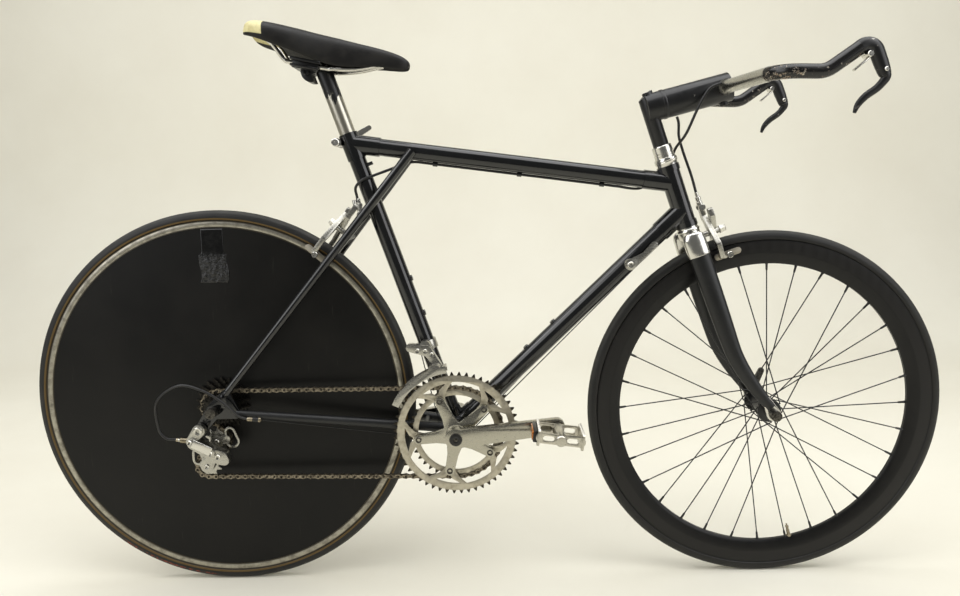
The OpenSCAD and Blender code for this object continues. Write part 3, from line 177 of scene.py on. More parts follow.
def eased(name, finish, body, edge=0.0, sharp=35):
    """A joined copy of a CAD piece, with its sharp edges rounded by edge mm."""
    work = bmesh.new()
    work.from_mesh(nodes[name].data)
    bmesh.ops.remove_doubles(work, verts=work.verts, dist=2e-6)
    if edge:
        bmesh.ops.dissolve_limit(work, angle_limit=math.radians(1), verts=work.verts, edges=work.edges)
        keen = [e for e in work.edges if e.calc_face_angle(0) > math.radians(sharp)]
        bmesh.ops.bevel(work, geom=keen, offset=edge / 1000, affect="EDGES", segments=2, profile=0.5,
                        material=-1, clamp_overlap=True)
    return piece(name + "_eased", work, finish, body, [name], sharp)


enamel = stoved_enamel("stoved black enamel", 0.74, 0.76, 0.15, 0.4)
dress(["head_tube", "top_tube", "down_tube", "seat_tube", "bottom_bracket", "seat_stays"], enamel)
dress(["chain_stays", "stay_bridges"], stoved_enamel("dusty black enamel", 0.74, 0.76, 0.42, 0.0))
eased("rear_dropouts", enamel, "frame", 0.6)

# Headset: turned steel races, a grooved adjusting cup and a locknut, chromed and screwed on the steerer.
# The lower race flares out under the head tube. The steering axis leans back by HEAD_LEAN degrees.
HEAD_LEAN = 18.5
FRONT_HUB = (943, 306)
FORK_RAKE = 30
HEAD_LOW, HEAD_TOP, CUP_H = 343, 451, 8


def lean(degrees):
    """A direction in the side plane, raised by an angle from straight ahead."""
    return Vector((math.cos(math.radians(degrees)), 0, math.sin(math.radians(degrees))))


HEAD_OUT, HEAD_DIR = lean(HEAD_LEAN), lean(HEAD_LEAN + 90)


def steer(x, y, z):
    """A point in millimetres ahead of, left of and up along the steering axis, from beside the front hub."""
    foot = at(FRONT_HUB[0], 0, FRONT_HUB[1]) - HEAD_OUT * FORK_RAKE / 1000
    return foot + (HEAD_OUT * x + HEAD_DIR * z) / 1000 + Vector((0, y / 1000, 0))


def joined(work, fresh):
    """Adds a closed shape to a piece, its seam merged and its faces turned outwards."""
    bmesh.ops.remove_doubles(fresh, verts=fresh.verts, dist=1e-6)
    bmesh.ops.recalc_face_normals(fresh, faces=fresh.faces)
    mesh = bpy.data.meshes.new("part")
    fresh.to_mesh(mesh)
    fresh.free()
    work.from_mesh(mesh)
    bpy.data.meshes.remove(mesh)


def turned(work, profile, foot, axis, steps=48):
    """Spins a profile of (radius, along) in mm round an axis through a point."""
    axis = Vector(axis).normalized()
    side = axis.orthogonal().normalized()
    fresh = bmesh.new()
    closed = profile[0] == profile[-1]
    line = [fresh.verts.new(foot + (axis * s + side * r) / 1000) for r, s in profile[:len(profile) - closed]]
    edges = [fresh.edges.new(pair) for pair in zip(line, line[1:] + line[:1] if closed else line[1:])]
    bmesh.ops.spin(fresh, geom=line + edges, cent=foot, axis=axis, angle=2 * math.pi, steps=steps,
                   use_merge=True)
    joined(work, fresh)


def chrome_plate(name):
    """Bright chrome over nickel: sharp reflections, with specks of rust and a film of old polish."""
    finish, tree, mm = start_material(name)
    specks = patches(tree, mm, 2.5, 0.68, 0.74)
    film = patches(tree, mm, 14, 0.35, 0.75)
    close_material(tree, Base_Color=mixed(tree, specks, linear("#cfcdc6"), linear("#7d7261")), Metallic=1.0,
                   Roughness=mixed(tree, film, 0.14, 0.3))
    return finish


chrome = chrome_plate("chromium plate")
STEERER_R = 12.8
cups = bmesh.new()
turned(cups, [(STEERER_R, 0), (17.2, 0), (17.6, 1), (17.4, 3.5), (18.8, 6), (19.2, 7), (18.8, CUP_H),
              (STEERER_R, CUP_H), (STEERER_R, 0)], steer(0, 0, HEAD_TOP), HEAD_DIR)
turned(cups, [(STEERER_R, 0), (17.2, 0), (17.5, 1), (17.5, 3), (19, 5), (19.6, 6.5), (19.2, CUP_H),
              (STEERER_R, CUP_H), (STEERER_R, 0)], steer(0, 0, HEAD_LOW), -HEAD_DIR)
piece("headset_races", cups, chrome, "frame", ["headset_cups"])
locknut = bmesh.new()
turned(locknut, [(STEERER_R, 0), (18.6, 0), (19.2, 1), (19, 2.4), (17.4, 5.4), (16.6, 6), (16.6, 8.6),
                 (16, 9), (16, 9.8), (16.6, 10.2), (16.6, 12.8), (15.6, 13.4), (15.6, 14.4), (16.4, 15),
                 (16.4, 24.8), (15.6, 26.2), (14.6, 26.6), (STEERER_R, 26.6), (STEERER_R, 0)],
       steer(0, 0, HEAD_TOP + CUP_H + 0.4), HEAD_DIR)
piece("headset_locknut", locknut, chrome, "steering", ["headset_nut"], 25)

# Fork: a chromed crown with oval sockets, flattened steel blades brazed into it, and chromed ends.
# The blades are deeper than thick, in dull black enamel that is chipped where the wheel throws up grit.
CROWN_TOP, BLADE_TOP, BLADE_END = 329, 323, 12
BLADE_Y, BLADE_END_Y = 33, 52.5
BLADE_DEEP, BLADE_TAPER, BLADE_FLAT = 17.5, 9, 0.57
BEND_Z, BEND_OUT, SET_BACK = 130, 34.5, 3


def blade_at(share, side):
    """A point on a blade's middle line, by its share of the way down from the crown."""
    z = BLADE_TOP * (1 - share) + BLADE_END * share
    bend = max(0, 1 - z / BEND_Z)
    return steer(BEND_OUT * bend ** 1.6 - SET_BACK * (1 - share),
                 side * (BLADE_Y + (BLADE_END_Y - BLADE_Y) * share), z)


def extruded(work, edges):
    """Extrudes a line of edges, and gives its new vertices and the edges between them."""
    made = bmesh.ops.extrude_edge_only(work, edges=edges)["geom"]
    ring = [g for g in made if isinstance(g, bmesh.types.BMVert)]
    held = set(ring)
    return ring, [g for g in made if isinstance(g, bmesh.types.BMEdge) and set(g.verts) <= held]


def drawn(work, path, radii, sides=12, flat=(1, 1)):
    """A round bar swept along a path in the frame's metres, with a radius in mm at each point."""
    fresh = bmesh.new()
    ring = bmesh.ops.create_circle(fresh, segments=sides, radius=radii[0] / 1000)["verts"]
    heads = [(path[min(i + 1, len(path) - 1)] - path[max(i - 1, 0)]).normalized() for i in range(len(path))]
    spun = Vector((0, 0, 1)).rotation_difference(heads[0]).to_matrix().to_4x4()
    bmesh.ops.scale(fresh, vec=(flat[0], flat[1], 1), verts=ring)
    bmesh.ops.transform(fresh, matrix=Matrix.Translation(path[0]) @ spun, verts=ring)
    edges = list(fresh.edges)
    for i in range(1, len(path)):
        ring, edges = extruded(fresh, edges)
        bend = heads[i - 1].rotation_difference(heads[i]).to_matrix().to_4x4()
        grow = Matrix.Scale(radii[i] / radii[i - 1], 4)
        bmesh.ops.transform(fresh, verts=ring, matrix=Matrix.Translation(path[i]) @ bend @ grow
                            @ Matrix.Translation(-path[i - 1]))
    bmesh.ops.holes_fill(fresh, edges=fresh.edges)
    joined(work, fresh)


crown, blades = bmesh.new(), bmesh.new()
SOCKET = ((0.094, 16.8), (0.093, 18.6), (0.088, 19.2), (0.06, 19), (0, 18.8), (-0.022, 16.8), (-0.034, 12))
DOWN = [k / 20 for k in range(20, -1, -1)]
for side in (-1, 1):
    drawn(crown, [blade_at(t, side) for t, r in SOCKET], [r for t, r in SOCKET], 40, (1, BLADE_FLAT))
    drawn(blades, [blade_at(t, side) for t in DOWN], [BLADE_DEEP - BLADE_TAPER * t ** 2.2 for t in DOWN], 32,
          (1, BLADE_FLAT))
drawn(crown, [steer(0, y, CROWN_TOP - 7) for y in (-33, -20, -8, 8, 20, 33)], [12, 12, 13, 13, 12, 12], 32)
turned(crown, [(STEERER_R, -6), (18, -6), (18.6, 2), (18.2, 5.4), (STEERER_R, 5.4), (STEERER_R, -6)],
       steer(0, 0, CROWN_TOP), HEAD_DIR)
piece("fork_crown_cast", crown, chrome, "steering", ["fork_crown"])
piece("fork_blades_oval", blades, stoved_enamel("chipped black enamel", 0.68, 0.71, 0.36, 0.0), "steering",
      ["fork_blades"])
eased("fork_ends", chrome, "steering", 0.8)

# Seat post and clamp: a drawn aluminium post, black anodised, with a forged cradle and two plates on top.
# The post has been slid up and down, so its lower half is scraped back to bare metal.


def scraped_post():
    """Black anodising scraped off along the post: dull black above, streaky bare aluminium below."""
    finish, tree, mm = start_material("black anodised aluminium, scraped")
    height = add(tree, "SeparateXYZ", {0: mm}).outputs["Z"]
    lug_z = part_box("seat_tube")[1].z * 1000
    bare = add(tree, "MapRange",
               {"Value": height, "From Min": lug_z + 92, "From Max": lug_z + 22}).outputs[0]
    streaks = add(tree, "Mapping", {"Vector": mm, "Scale": (1, 1, 0.35)}).outputs[0]
    scratch = add(tree, "TexNoise", {"Vector": streaks, "Scale": 1 / 9, "Detail": 9, "Roughness": 0.65})
    worn = add(tree, "Math", {0: scratch.outputs["Fac"], 1: 2.2, 2: bare},
               operation="MULTIPLY_ADD").outputs[0]
    fade = add(tree, "MapRange", {"Value": worn, "From Min": 1.58, "From Max": 1.66}).outputs[0]
    close_material(tree, Base_Color=mixed(tree, fade, linear("#141415"), linear("#b5b1a4")),
                   Metallic=mixed(tree, fade, 0.2, 1.0), Roughness=mixed(tree, fade, 0.36, 0.3),
                   bump=(fade, 0.03))
    return finish


def satin_anodised(name, wear_low, wear_high):
    """Satin black anodising: a soft even sheen, with rubbed places that show grey metal."""
    finish, tree, mm = start_material(name)
    rubbed = patches(tree, mm, 9, wear_low, wear_high, 9)
    cloud = patches(tree, mm, 30, 0.3, 0.8)
    black = mixed(tree, cloud, linear("#0c0c0d"), linear("#161617"))
    close_material(tree, Base_Color=mixed(tree, rubbed, black, linear("#8d8a84")),
                   Metallic=mixed(tree, rubbed, 0.1, 0.9), Roughness=mixed(tree, cloud, 0.28, 0.42))
    return finish


anodised = satin_anodised("satin black anodised aluminium", 0.70, 0.73)
dress(["seat_post"], scraped_post())
eased("saddle_clamp", anodised, "frame", 1.6)
SADDLE_TILT = 12
SADDLE_ALONG, SADDLE_UP = lean(-SADDLE_TILT), lean(90 - SADDLE_TILT)
SADDLE_MID = at(189.66, 0, 917.72)


def on_saddle(x, y, z):
    """A point in millimetres along, left of and above the tilted saddle's middle."""
    return SADDLE_MID + (SADDLE_ALONG * x + SADDLE_UP * z) / 1000 + Vector((0, y / 1000, 0))


def slab(work, centre, along, up, sizes, edge):
    """A block of three sizes in mm, turned to along and up, with rounded edges."""
    fresh = bmesh.new()
    verts = bmesh.ops.create_cube(fresh, size=0.001)["verts"]
    bmesh.ops.scale(fresh, vec=sizes, verts=verts)
    bmesh.ops.bevel(fresh, geom=list(fresh.edges), offset=edge / 1000, affect="EDGES", segments=3,
                    profile=0.5, material=-1, clamp_overlap=True)
    turn = Matrix((along, up.cross(along), up)).transposed().to_4x4()
    bmesh.ops.transform(fresh, matrix=Matrix.Translation(centre) @ turn, verts=fresh.verts)
    joined(work, fresh)


clamp_trim = bmesh.new()
for side in (-1, 1):
    slab(clamp_trim, on_saddle(-7, side * 27.6, -14.6), SADDLE_ALONG, SADDLE_UP, (50, 15, 5), 1.4)
    slab(clamp_trim, on_saddle(-7, side * 27.6, -24.8), SADDLE_ALONG, SADDLE_UP, (46, 15, 4), 1.4)
    turned(clamp_trim, [(0, 0), (5, 0), (5, 3.6), (4.4, 4.4), (2.6, 4.4), (2.6, 2.4), (0, 2.4)],
           on_saddle(-7, side * 14, -31), (0, side, 0), 18)
piece("saddle_clamp_plates", clamp_trim, anodised, "frame")
eased("saddle_rails", chrome, "frame")
eased("seat_binder", chrome, "frame", 0.8)
binder = bmesh.new()
turned(binder, [(0, -1.5), (3, -1.5), (3, 0.6), (5.4, 0.8), (6.6, 0), (6.9, -1.6), (0, -1.6)],
       at(219.0, -21.2, 774.8), (0, -1, 0), 24)
piece("seat_binder_bolt", binder, chrome, "frame")

# Saddle: a moulded nylon shell with thin foam and black leather glued over it.
# A cream leather panel is sewn round the tail, and the leather is polished and creased by use.
TAIL_X, SADDLE_L, SADDLE_HALF = -112.86, 270, 69
TAIL_SEAM, SEAM_SLOPE, TAIL_HEM = -69, 0.236, 8
SADDLE_ROWS = ((0.0, 0.42, 23, 9), (0.02, 0.68, 29, 4), (0.06, 0.88, 32, 2.4), (0.12, 0.985, 33.6, 1),
               (0.2, 1.0, 34, -3), (0.32, 0.84, 34, -7), (0.42, 0.62, 33, -11), (0.54, 0.42, 33, -16),
               (0.66, 0.33, 31, -11), (0.78, 0.28, 30, -3), (0.9, 0.26, 27, 0), (0.97, 0.22, 22, 2),
               (1.0, 0.12, 15, 6))
SADDLE_SECTION = ((0, 1), (0.3, 0.99), (0.6, 0.955), (0.86, 0.85), (0.98, 0.64), (1, 0.32), (0.975, 0.05),
                  (0.9, 0), (0.84, 0.06), (0.6, 0.3), (0.3, 0.45), (0, 0.5))


def saddle_cover():
    """Chrome-tanned leather: fine pebble, soft sheen on the ridges; the tail panel is cream and rubbed."""
    finish, tree, mm = start_material("glued leather cover")
    from_mid = add(tree, "VectorMath", {0: mm, 1: SADDLE_MID * 1000}, operation="SUBTRACT").outputs[0]
    slant = add(tree, "VectorMath", {0: from_mid, 1: SADDLE_ALONG + SADDLE_UP * SEAM_SLOPE},
                operation="DOT_PRODUCT").outputs["Value"]
    behind = add(tree, "MapRange",
                 {"Value": slant, "From Min": TAIL_SEAM + 0.4, "From Max": TAIL_SEAM - 0.4}).outputs[0]
    rise = add(tree, "VectorMath", {0: from_mid, 1: SADDLE_UP}, operation="DOT_PRODUCT").outputs["Value"]
    above = add(tree, "MapRange",
                {"Value": rise, "From Min": TAIL_HEM - 0.5, "From Max": TAIL_HEM + 0.5}).outputs[0]
    tail = add(tree, "Math", {0: behind, 1: above}, operation="MULTIPLY").outputs[0]
    ridge = add(tree, "Math", {0: slant, 1: TAIL_SEAM, 2: 1.3}, operation="COMPARE").outputs[0]
    pebble = add(tree, "TexVoronoi", {"Vector": mm, "Scale": 1 / 1.6}).outputs["Distance"]
    worn = patches(tree, mm, 16, 0.42, 0.7, 8)
    black = mixed(tree, worn, linear("#100f0e"), linear("#1a1815"))
    cream = mixed(tree, worn, linear("#d8cf9c"), linear("#b9ac78"))
    grain = add(tree, "Math", {0: pebble, 1: ridge}, operation="SUBTRACT").outputs[0]
    close_material(tree, Base_Color=mixed(tree, tail, black, cream), Roughness=mixed(tree, worn, 0.46, 0.6),
                   Specular_IOR_Level=0.3, bump=(grain, 0.12))
    return finish


section = SADDLE_SECTION + tuple((-x, z) for x, z in SADDLE_SECTION[-2:0:-1])
cover = bmesh.new()
ring = [cover.verts.new() for _ in section]
edges = [cover.edges.new(pair) for pair in zip(ring, ring[1:] + ring[:1])]
for number, (share, half, top, skirt) in enumerate(SADDLE_ROWS):
    if number:
        ring, edges = extruded(cover, edges)
    for vert, (across, up) in zip(ring, section):
        vert.co = on_saddle(TAIL_X + share * SADDLE_L, across * half * SADDLE_HALF,
                            skirt + up * (top - skirt))
bmesh.ops.holes_fill(cover, edges=cover.edges)
bmesh.ops.recalc_face_normals(cover, faces=cover.faces)
saddle = piece("saddle_cover", cover, saddle_cover(), "frame", ["saddle"], 180)
rounding = saddle.modifiers.new("rounding", "SUBSURF")
rounding.levels = rounding.render_levels = 3

# Stem: an aluminium extension welded to its quill, with the bar clamped in its front end.
# It is painted satin black, with a seam behind, a wedge bolt on top and a pinch bolt underneath.
STEM_Z, STEM_REACH, STEM_FALL, STEM_R = 540, 122, 5, 23.5
eased("stem", anodised, "steering", 1.8)
stem_dir = lean(HEAD_LEAN - STEM_FALL)
stem_trim = bmesh.new()
turned(stem_trim, [(STEM_R - 1, -4), (STEM_R + 0.3, -4), (STEM_R + 0.9, -3), (STEM_R + 0.9, 1),
                   (STEM_R + 0.3, 2), (STEM_R - 1, 2), (STEM_R - 1, -4)], steer(STEM_REACH, 0,
                   STEM_Z) - stem_dir * 0.098,
       stem_dir, 64)
turned(stem_trim, [(0, 0), (6.5, 0), (6.5, 3.4), (5.6, 4.4), (3.4, 4.4), (3.4, 1.5), (0, 1.5)],
       steer(2, 0, STEM_Z + 32), HEAD_DIR, 24)
turned(stem_trim, [(0, -4), (7, -4), (7, 3), (6, 4), (2.8, 4), (2.8, 1), (0, 1)],
       steer(STEM_REACH - 4, 0, STEM_Z - STEM_R), -HEAD_DIR, 24)
piece("stem_seam_and_bolts", stem_trim, anodised, "steering")

# Bar: a bent aluminium tube, bare and polished in the middle, with black horns that point forward.
# The black has flaked off the horns in flecks, most underneath and at their inner ends.


def polished_alloy(name, light, dark, smooth, dull, grime):
    """Buffed aluminium: blurred reflections drawn out along the buffing, with grey grime in blotches."""
    finish, tree, mm = start_material(name)
    dirt = patches(tree, mm, 7, 0.62 - grime, 0.85 - grime, 8)
    lines = add(tree, "Mapping", {"Vector": mm, "Scale": (0.15, 1, 1.4)}).outputs[0]
    buff = patches(tree, lines, 1.5, 0.3, 0.7, 4)
    close_material(tree, Base_Color=mixed(tree, dirt, linear(light), linear(dark)), Metallic=1.0,
                   Roughness=mixed(tree, dirt, mixed(tree, buff, smooth, dull), 0.5))
    return finish


def flaked_black():
    """Black lacquer over aluminium: glossy black with ragged silver and rusty flecks."""
    finish, tree, mm = start_material("flaked black lacquer")
    inner = add(tree, "SeparateXYZ", {0: mm}).outputs["X"]
    worn_x = at(895, 0, 0).x * 1000
    hand = add(tree, "MapRange",
               {"Value": inner, "From Min": worn_x + 40, "From Max": worn_x - 12, "To Max": 0.09}).outputs[0]
    facing = add(tree, "NewGeometry").outputs["Normal"]
    tilt = add(tree, "SeparateXYZ", {0: facing}).outputs["Z"]
    under = add(tree, "MapRange",
               {"Value": tilt, "From Min": 0.5, "From Max": -0.3, "To Max": 0.075}).outputs[0]
    grit = add(tree, "TexNoise", {"Vector": mm, "Scale": 1 / 5, "Detail": 10, "Roughness": 0.62})
    rubbed = add(tree, "Math", {0: hand, 1: under}, operation="ADD").outputs[0]
    worn = add(tree, "Math", {0: rubbed, 1: grit.outputs["Fac"]}, operation="ADD").outputs[0]
    fleck = add(tree, "MapRange", {"Value": worn, "From Min": 0.675, "From Max": 0.71}).outputs[0]
    tint = patches(tree, mm, 3, 0.4, 0.6)
    bare = mixed(tree, tint, linear("#b5aea0"), linear("#6d5646"))
    close_material(tree, Base_Color=mixed(tree, fleck, linear("#0d0c0b"), bare),
                   Metallic=mixed(tree, fleck, 0.0, 0.9), Roughness=mixed(tree, fleck, 0.24, 0.4),
                   bump=(mixed(tree, fleck, 1.0, 0.0), 0.12))
    return finish


alloy = polished_alloy("buffed aluminium", "#aeaca4", "#65615a", 0.22, 0.34, 0.03)
dress(["handlebar"], alloy)
lacquer = flaked_black()
eased("bar_horns", lacquer, "steering")

# Brake levers: cast hoods clamped in the horns' ends, with hooked blades that swing on a steel pin.
# Hood and blade are black, rubbed bright along the edges that fingers touch.
worn_black = satin_anodised("rubbed black lacquer", 0.62, 0.68)
eased("lever_hoods", worn_black, "steering")
eased("lever_blades", worn_black, "steering")
BAR_HALF = 178
lever_pins = bmesh.new()
for side in (-1, 1):
    for x, z, r, out in ((1029, 845, 3.2, 9.6), (1006, 866, 4.4, 9.4)):
        turned(lever_pins, [(0, -out - 0.9), (r - 0.8, -out - 0.9), (r, -out), (r, out),
                            (r - 0.8, out + 0.9), (0, out + 0.9)],
               at(x, side * BAR_HALF, z), (0, 1, 0), 18)
    slab(lever_pins, at(997, side * BAR_HALF, 853), Vector((0.77, 0, 0.64)), Vector((-0.64, 0, 0.77)),
         (26, 7, 3), 1)
piece("lever_pins", lever_pins, chrome, "steering")

# Brakes: side-pull callipers forged in aluminium, bolted through the crown and the stay bridge.
# Each arm holds a rubber block in a grey shoe with rounded ends, and the cable enters a knurled barrel.
eased("front_brake", alloy, "steering", 1.2)
eased("rear_brake", alloy, "frame", 1.2)
STAY_ANGLE = 47.6
STAY_DIR, STAY_BACK = lean(STAY_ANGLE), lean(STAY_ANGLE + 90)
BRIDGE, BRIDGE_LIFT = at(234, 0, 615), lean(STAY_ANGLE + 50)
REAR_BARREL = BRIDGE + STAY_BACK * 0.020 + STAY_DIR * 0.050 + Vector((0, -0.009, 0))
PAD_Y, PAD_T, SHOE_T = 11.5, 7, 3


def moulded_rubber(name, code, bloom_code, rough):
    """Moulded rubber: dull black with a grey bloom and a faint texture from the mould."""
    finish, tree, mm = start_material(name)
    bloom = patches(tree, mm, 20, 0.4, 0.75)
    skin = patches(tree, mm, 1.5, 0.3, 0.7, 3)
    close_material(tree, Base_Color=mixed(tree, bloom, linear(code), linear(bloom_code)), Roughness=rough,
                   bump=(skin, 0.05))
    return finish


def raised(work, faces, vec):
    """Extrudes faces along a vector."""
    made = bmesh.ops.extrude_face_region(work, geom=faces)["geom"]
    bmesh.ops.translate(work, vec=vec, verts=[g for g in made if isinstance(g, bmesh.types.BMVert)])


def lozenge(work, centre, along, up, length, height, out, thick):
    """A plate with rounded ends, lying in the plane of along and up, thick along out."""
    fresh = bmesh.new()
    disc = bmesh.ops.create_circle(fresh, cap_ends=True, segments=20, radius=height / 2000)["verts"]
    for vert in disc:
        vert.co.x += math.copysign((length - height) / 2000, vert.co.x)
    raised(fresh, list(fresh.faces), (0, 0, thick / 1000))
    rims = [e for e in fresh.edges if e.calc_face_angle(0) > 1]
    bmesh.ops.bevel(fresh, geom=rims, offset=0.0007, affect="EDGES", segments=2, profile=0.5, material=-1,
                    clamp_overlap=True)
    turn = Matrix((along, up, out)).transposed().to_4x4()
    bmesh.ops.transform(fresh, matrix=Matrix.Translation(centre) @ turn, verts=fresh.verts)
    joined(work, fresh)


block_rubber = moulded_rubber("moulded brake rubber", "#161514", "#2a2826", 0.7)
shoe_alloy = polished_alloy("cast grey aluminium", "#a39d90", "#6d685e", 0.42, 0.52, 0.05)
for name, body, along, up, lift, barrel, centre in (
        ("front", "steering", HEAD_OUT, HEAD_DIR, HEAD_DIR, steer(34, 9, 375), steer(53, 0, 320)),
        ("rear", "frame", STAY_BACK, STAY_DIR, BRIDGE_LIFT, REAR_BARREL, BRIDGE + STAY_BACK * 0.039)):
    blocks, shoes, fittings = bmesh.new(), bmesh.new(), bmesh.new()
    pads_low, pads_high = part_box(name + "_brake_pads")
    mid = (pads_low + pads_high) / 2
    for side in (-1, 1):
        out = Vector((0, side, 0))
        face = Vector((mid.x, side * PAD_Y / 1000, mid.z))
        lozenge(blocks, face, along, up, 44, 10, out, PAD_T)
        lozenge(shoes, face + out * PAD_T / 1000, along, up, 46, 11, out, SHOE_T)
        turned(fittings, [(0, -1), (5.4, -1), (5.4, 3.4), (4.6, 4.4), (2.6, 4.4), (2.6, 2), (0, 2)],
               face + out * (PAD_T + SHOE_T + 9) / 1000, out, 20)
    piece(name + "_brake_blocks", blocks, block_rubber, body, [name + "_brake_pads"])
    piece(name + "_brake_shoes", shoes, shoe_alloy, body)
    turned(fittings, [(0, -3), (7.6, -3), (7.6, 1), (6.6, 1.6), (6.6, 6), (5.6, 7), (0, 7)], centre, along, 6)
    turned(fittings, [(0, -6), (5.4, -6), (5.4, -1), (4.2, 0), (4.2, 3), (5, 3.6), (5, 7.6), (4.2, 8.4),
                      (3, 9), (3, 16), (2.6, 16.6), (0, 16.6)], barrel, lift, 16)
    turned(fittings, [(0, -11), (5, -11), (5.8, -10), (5.8, -7), (4, -6), (4, 6), (5.8, 7), (5.8, 10),
                      (5, 11), (0, 11)],
           barrel - lift * 0.010, (0, 1, 0), 14)
    piece(name + "_brake_fittings", fittings, chrome, body, (), 30)

# Cables: steel wire in black plastic housing, with plated ferrules where it ends.
# The rear brake's housing runs from the bar past the head tube and along under the top tube.
HOUSING_R, WIRE_R = 2.3, 0.9


def smoothed(points, steps):
    """A soft curve through points."""
    path = []
    for i in range(len(points) - 1):
        a, b, c, d = (points[max(i - 1, 0)], points[i], points[i + 1], points[min(i + 2, len(points) - 1)])
        for k in range(steps):
            t = k / steps
            path.append(0.5 * (2 * b + (c - a) * t + (2 * a - 5 * b + 4 * c - d) * t ** 2
                               + (3 * b - a - 3 * c + d) * t ** 3))
    return path + [points[-1]]


def moulded_plastic(name, code, pale):
    """Extruded plastic: satin, with a little grey dust along it."""
    finish, tree, mm = start_material(name)
    dust = patches(tree, mm, 12, 0.45, 0.75)
    close_material(tree, Base_Color=mixed(tree, dust, linear(code), linear(pale)),
                   Roughness=mixed(tree, dust, 0.34, 0.5))
    return finish


housing = moulded_plastic("black housing plastic", "#0d0d0e", "#1b1a19")
BAR = (858.9, 847.3)
HEAD_JOINT, SEAT_JOINT = (780.95, 695.7), (242.3, 773.2)
TOP_DIR = (at(HEAD_JOINT[0], 0, HEAD_JOINT[1]) - at(SEAT_JOINT[0], 0, SEAT_JOINT[1])).normalized()
TOP_L, UNDER = 544.2, 16.8


def under_top(share):
    """A point under the top tube, by its share of the tube's length from the seat."""
    return (at(SEAT_JOINT[0], 0, SEAT_JOINT[1]) + TOP_DIR * share * TOP_L / 1000
            + Vector((TOP_DIR.z, 0, -TOP_DIR.x)) * UNDER / 1000)


def near(place, x, z, y):
    """A point by its distances forward, up and left of a place in the side plane."""
    return at(place[0] + x, y, place[1] + z)


def housing_line(points):
    """A mesh with one length of housing through points."""
    route = smoothed(points, 8)
    work = bmesh.new()
    drawn(work, route, [HOUSING_R] * len(route))
    return work


rear_run = [near(BAR, -10, 4.6, -31), near(BAR, -29, -4, -30), near(BAR, -46, -33, -28),
            steer(40, -20, 491), steer(23, 4, 474), steer(15, 21, 458), steer(5, 25, 447),
            near(HEAD_JOINT, -23, 8, 24), near(HEAD_JOINT, -53, -8, 15)]
rear_run += [under_top(u) for u in (0.831, 0.801, 0.775, 0.664, 0.518, 0.386, 0.256, 0.237)]
rear_run += [near(SEAT_JOINT, *p) for p in ((98, -33, -2), (62, -45, -12), (34, -55, -20), (18, -61, -21),
                                            (6, -73, -16))]
rear_run += [REAR_BARREL - STAY_DIR * 0.002 + BRIDGE_LIFT * up for up in (0.022, 0.0125)]
rear_housing = piece("rear_brake_cable", housing_line(rear_run), housing, None,
                     ["rear_brake_housing", "rear_housing_loop"])
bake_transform(rear_housing)
front_run = [steer(40, 3, 522), steer(40, 5, 511), steer(35, 8, 492), steer(34, 9, 475), steer(34, 9, 454),
             steer(35, 9, 422), steer(34, 9, 393), steer(34, 9, 384.2)]
piece("front_brake_cable", housing_line(front_run), housing, "steering",
      ["front_brake_housing"])
GEAR_STOP, GEAR_STOP_END = at(66, -70.5, 319.5), at(78, -69, 318)
ADJUSTER = (-59, -46)
gear_run = [GEAR_STOP, GEAR_STOP * 1.5 - GEAR_STOP_END * 0.5]
GEAR_LOOP = ((46, -6, 14), (28, 16, 21), (-5, 40, 23), (-48, 50, 21), (-88, 22, 17), (-90, -24, 14),
             (-80, -42, 13))
gear_run += [at(x, -65 - out, 334 + z) for x, z, out in GEAR_LOOP]
gear_run += [at(ADJUSTER[0] - 7, -77, 334 + ADJUSTER[1] + 1), at(ADJUSTER[0], -77, 334 + ADJUSTER[1])]
gear_line = housing_line(gear_run)
BB = (407, 281)
WIRE_TURNS = {-1: ((7, -26, -9), (-3, -26, -9)),
              1: ((7, -26, 7), (-11, -26, 2), (-27, -19, -6), (-57, 134, -30))}
for side, turns in WIRE_TURNS.items():
    wire = [at(709.5, side * 26, 553)] + [near(BB, *p) for p in turns] + ([GEAR_STOP_END] if side < 0 else [])
    drawn(gear_line, wire, [WIRE_R] * len(wire), 8)
piece("gear_cable_run", gear_line, housing, "frame", ["gear_cables"])


def plated_brass(name):
    """Turned brass, nickelled: dull warm grey metal with brown in the hollows."""
    finish, tree, mm = start_material(name)
    brown = patches(tree, mm, 2, 0.45, 0.7)
    close_material(tree, Base_Color=mixed(tree, brown, linear("#9b927e"), linear("#5b4d39")), Metallic=1.0,
                   Roughness=mixed(tree, brown, 0.25, 0.45))
    return finish


brass = plated_brass("nickelled brass")
ferrules = bmesh.new()
along_gear = (GEAR_STOP_END - GEAR_STOP).normalized()
turned(ferrules, [(0, -9), (3.4, -9), (3.8, -8), (3.8, 9), (4.3, 10), (4.3, 13), (3.2, 14), (0, 14)],
       GEAR_STOP, along_gear, 16)
adjust_dir = (at(0, 0, 0) - at(22, 0, -2)).normalized()
knurl = [(0, -2), (4.6, -2)] + [(r, s / 2) for s in range(0, 22, 2) for r in (4.8, 4.3)]
knurl += [(3.2, 12), (3.2, 18), (0, 18)]
turned(ferrules, knurl, at(ADJUSTER[0] + 14, -77, 334 + ADJUSTER[1] - 1.2), adjust_dir, 18)
piece("gear_cable_ferrules", ferrules, brass, "frame")

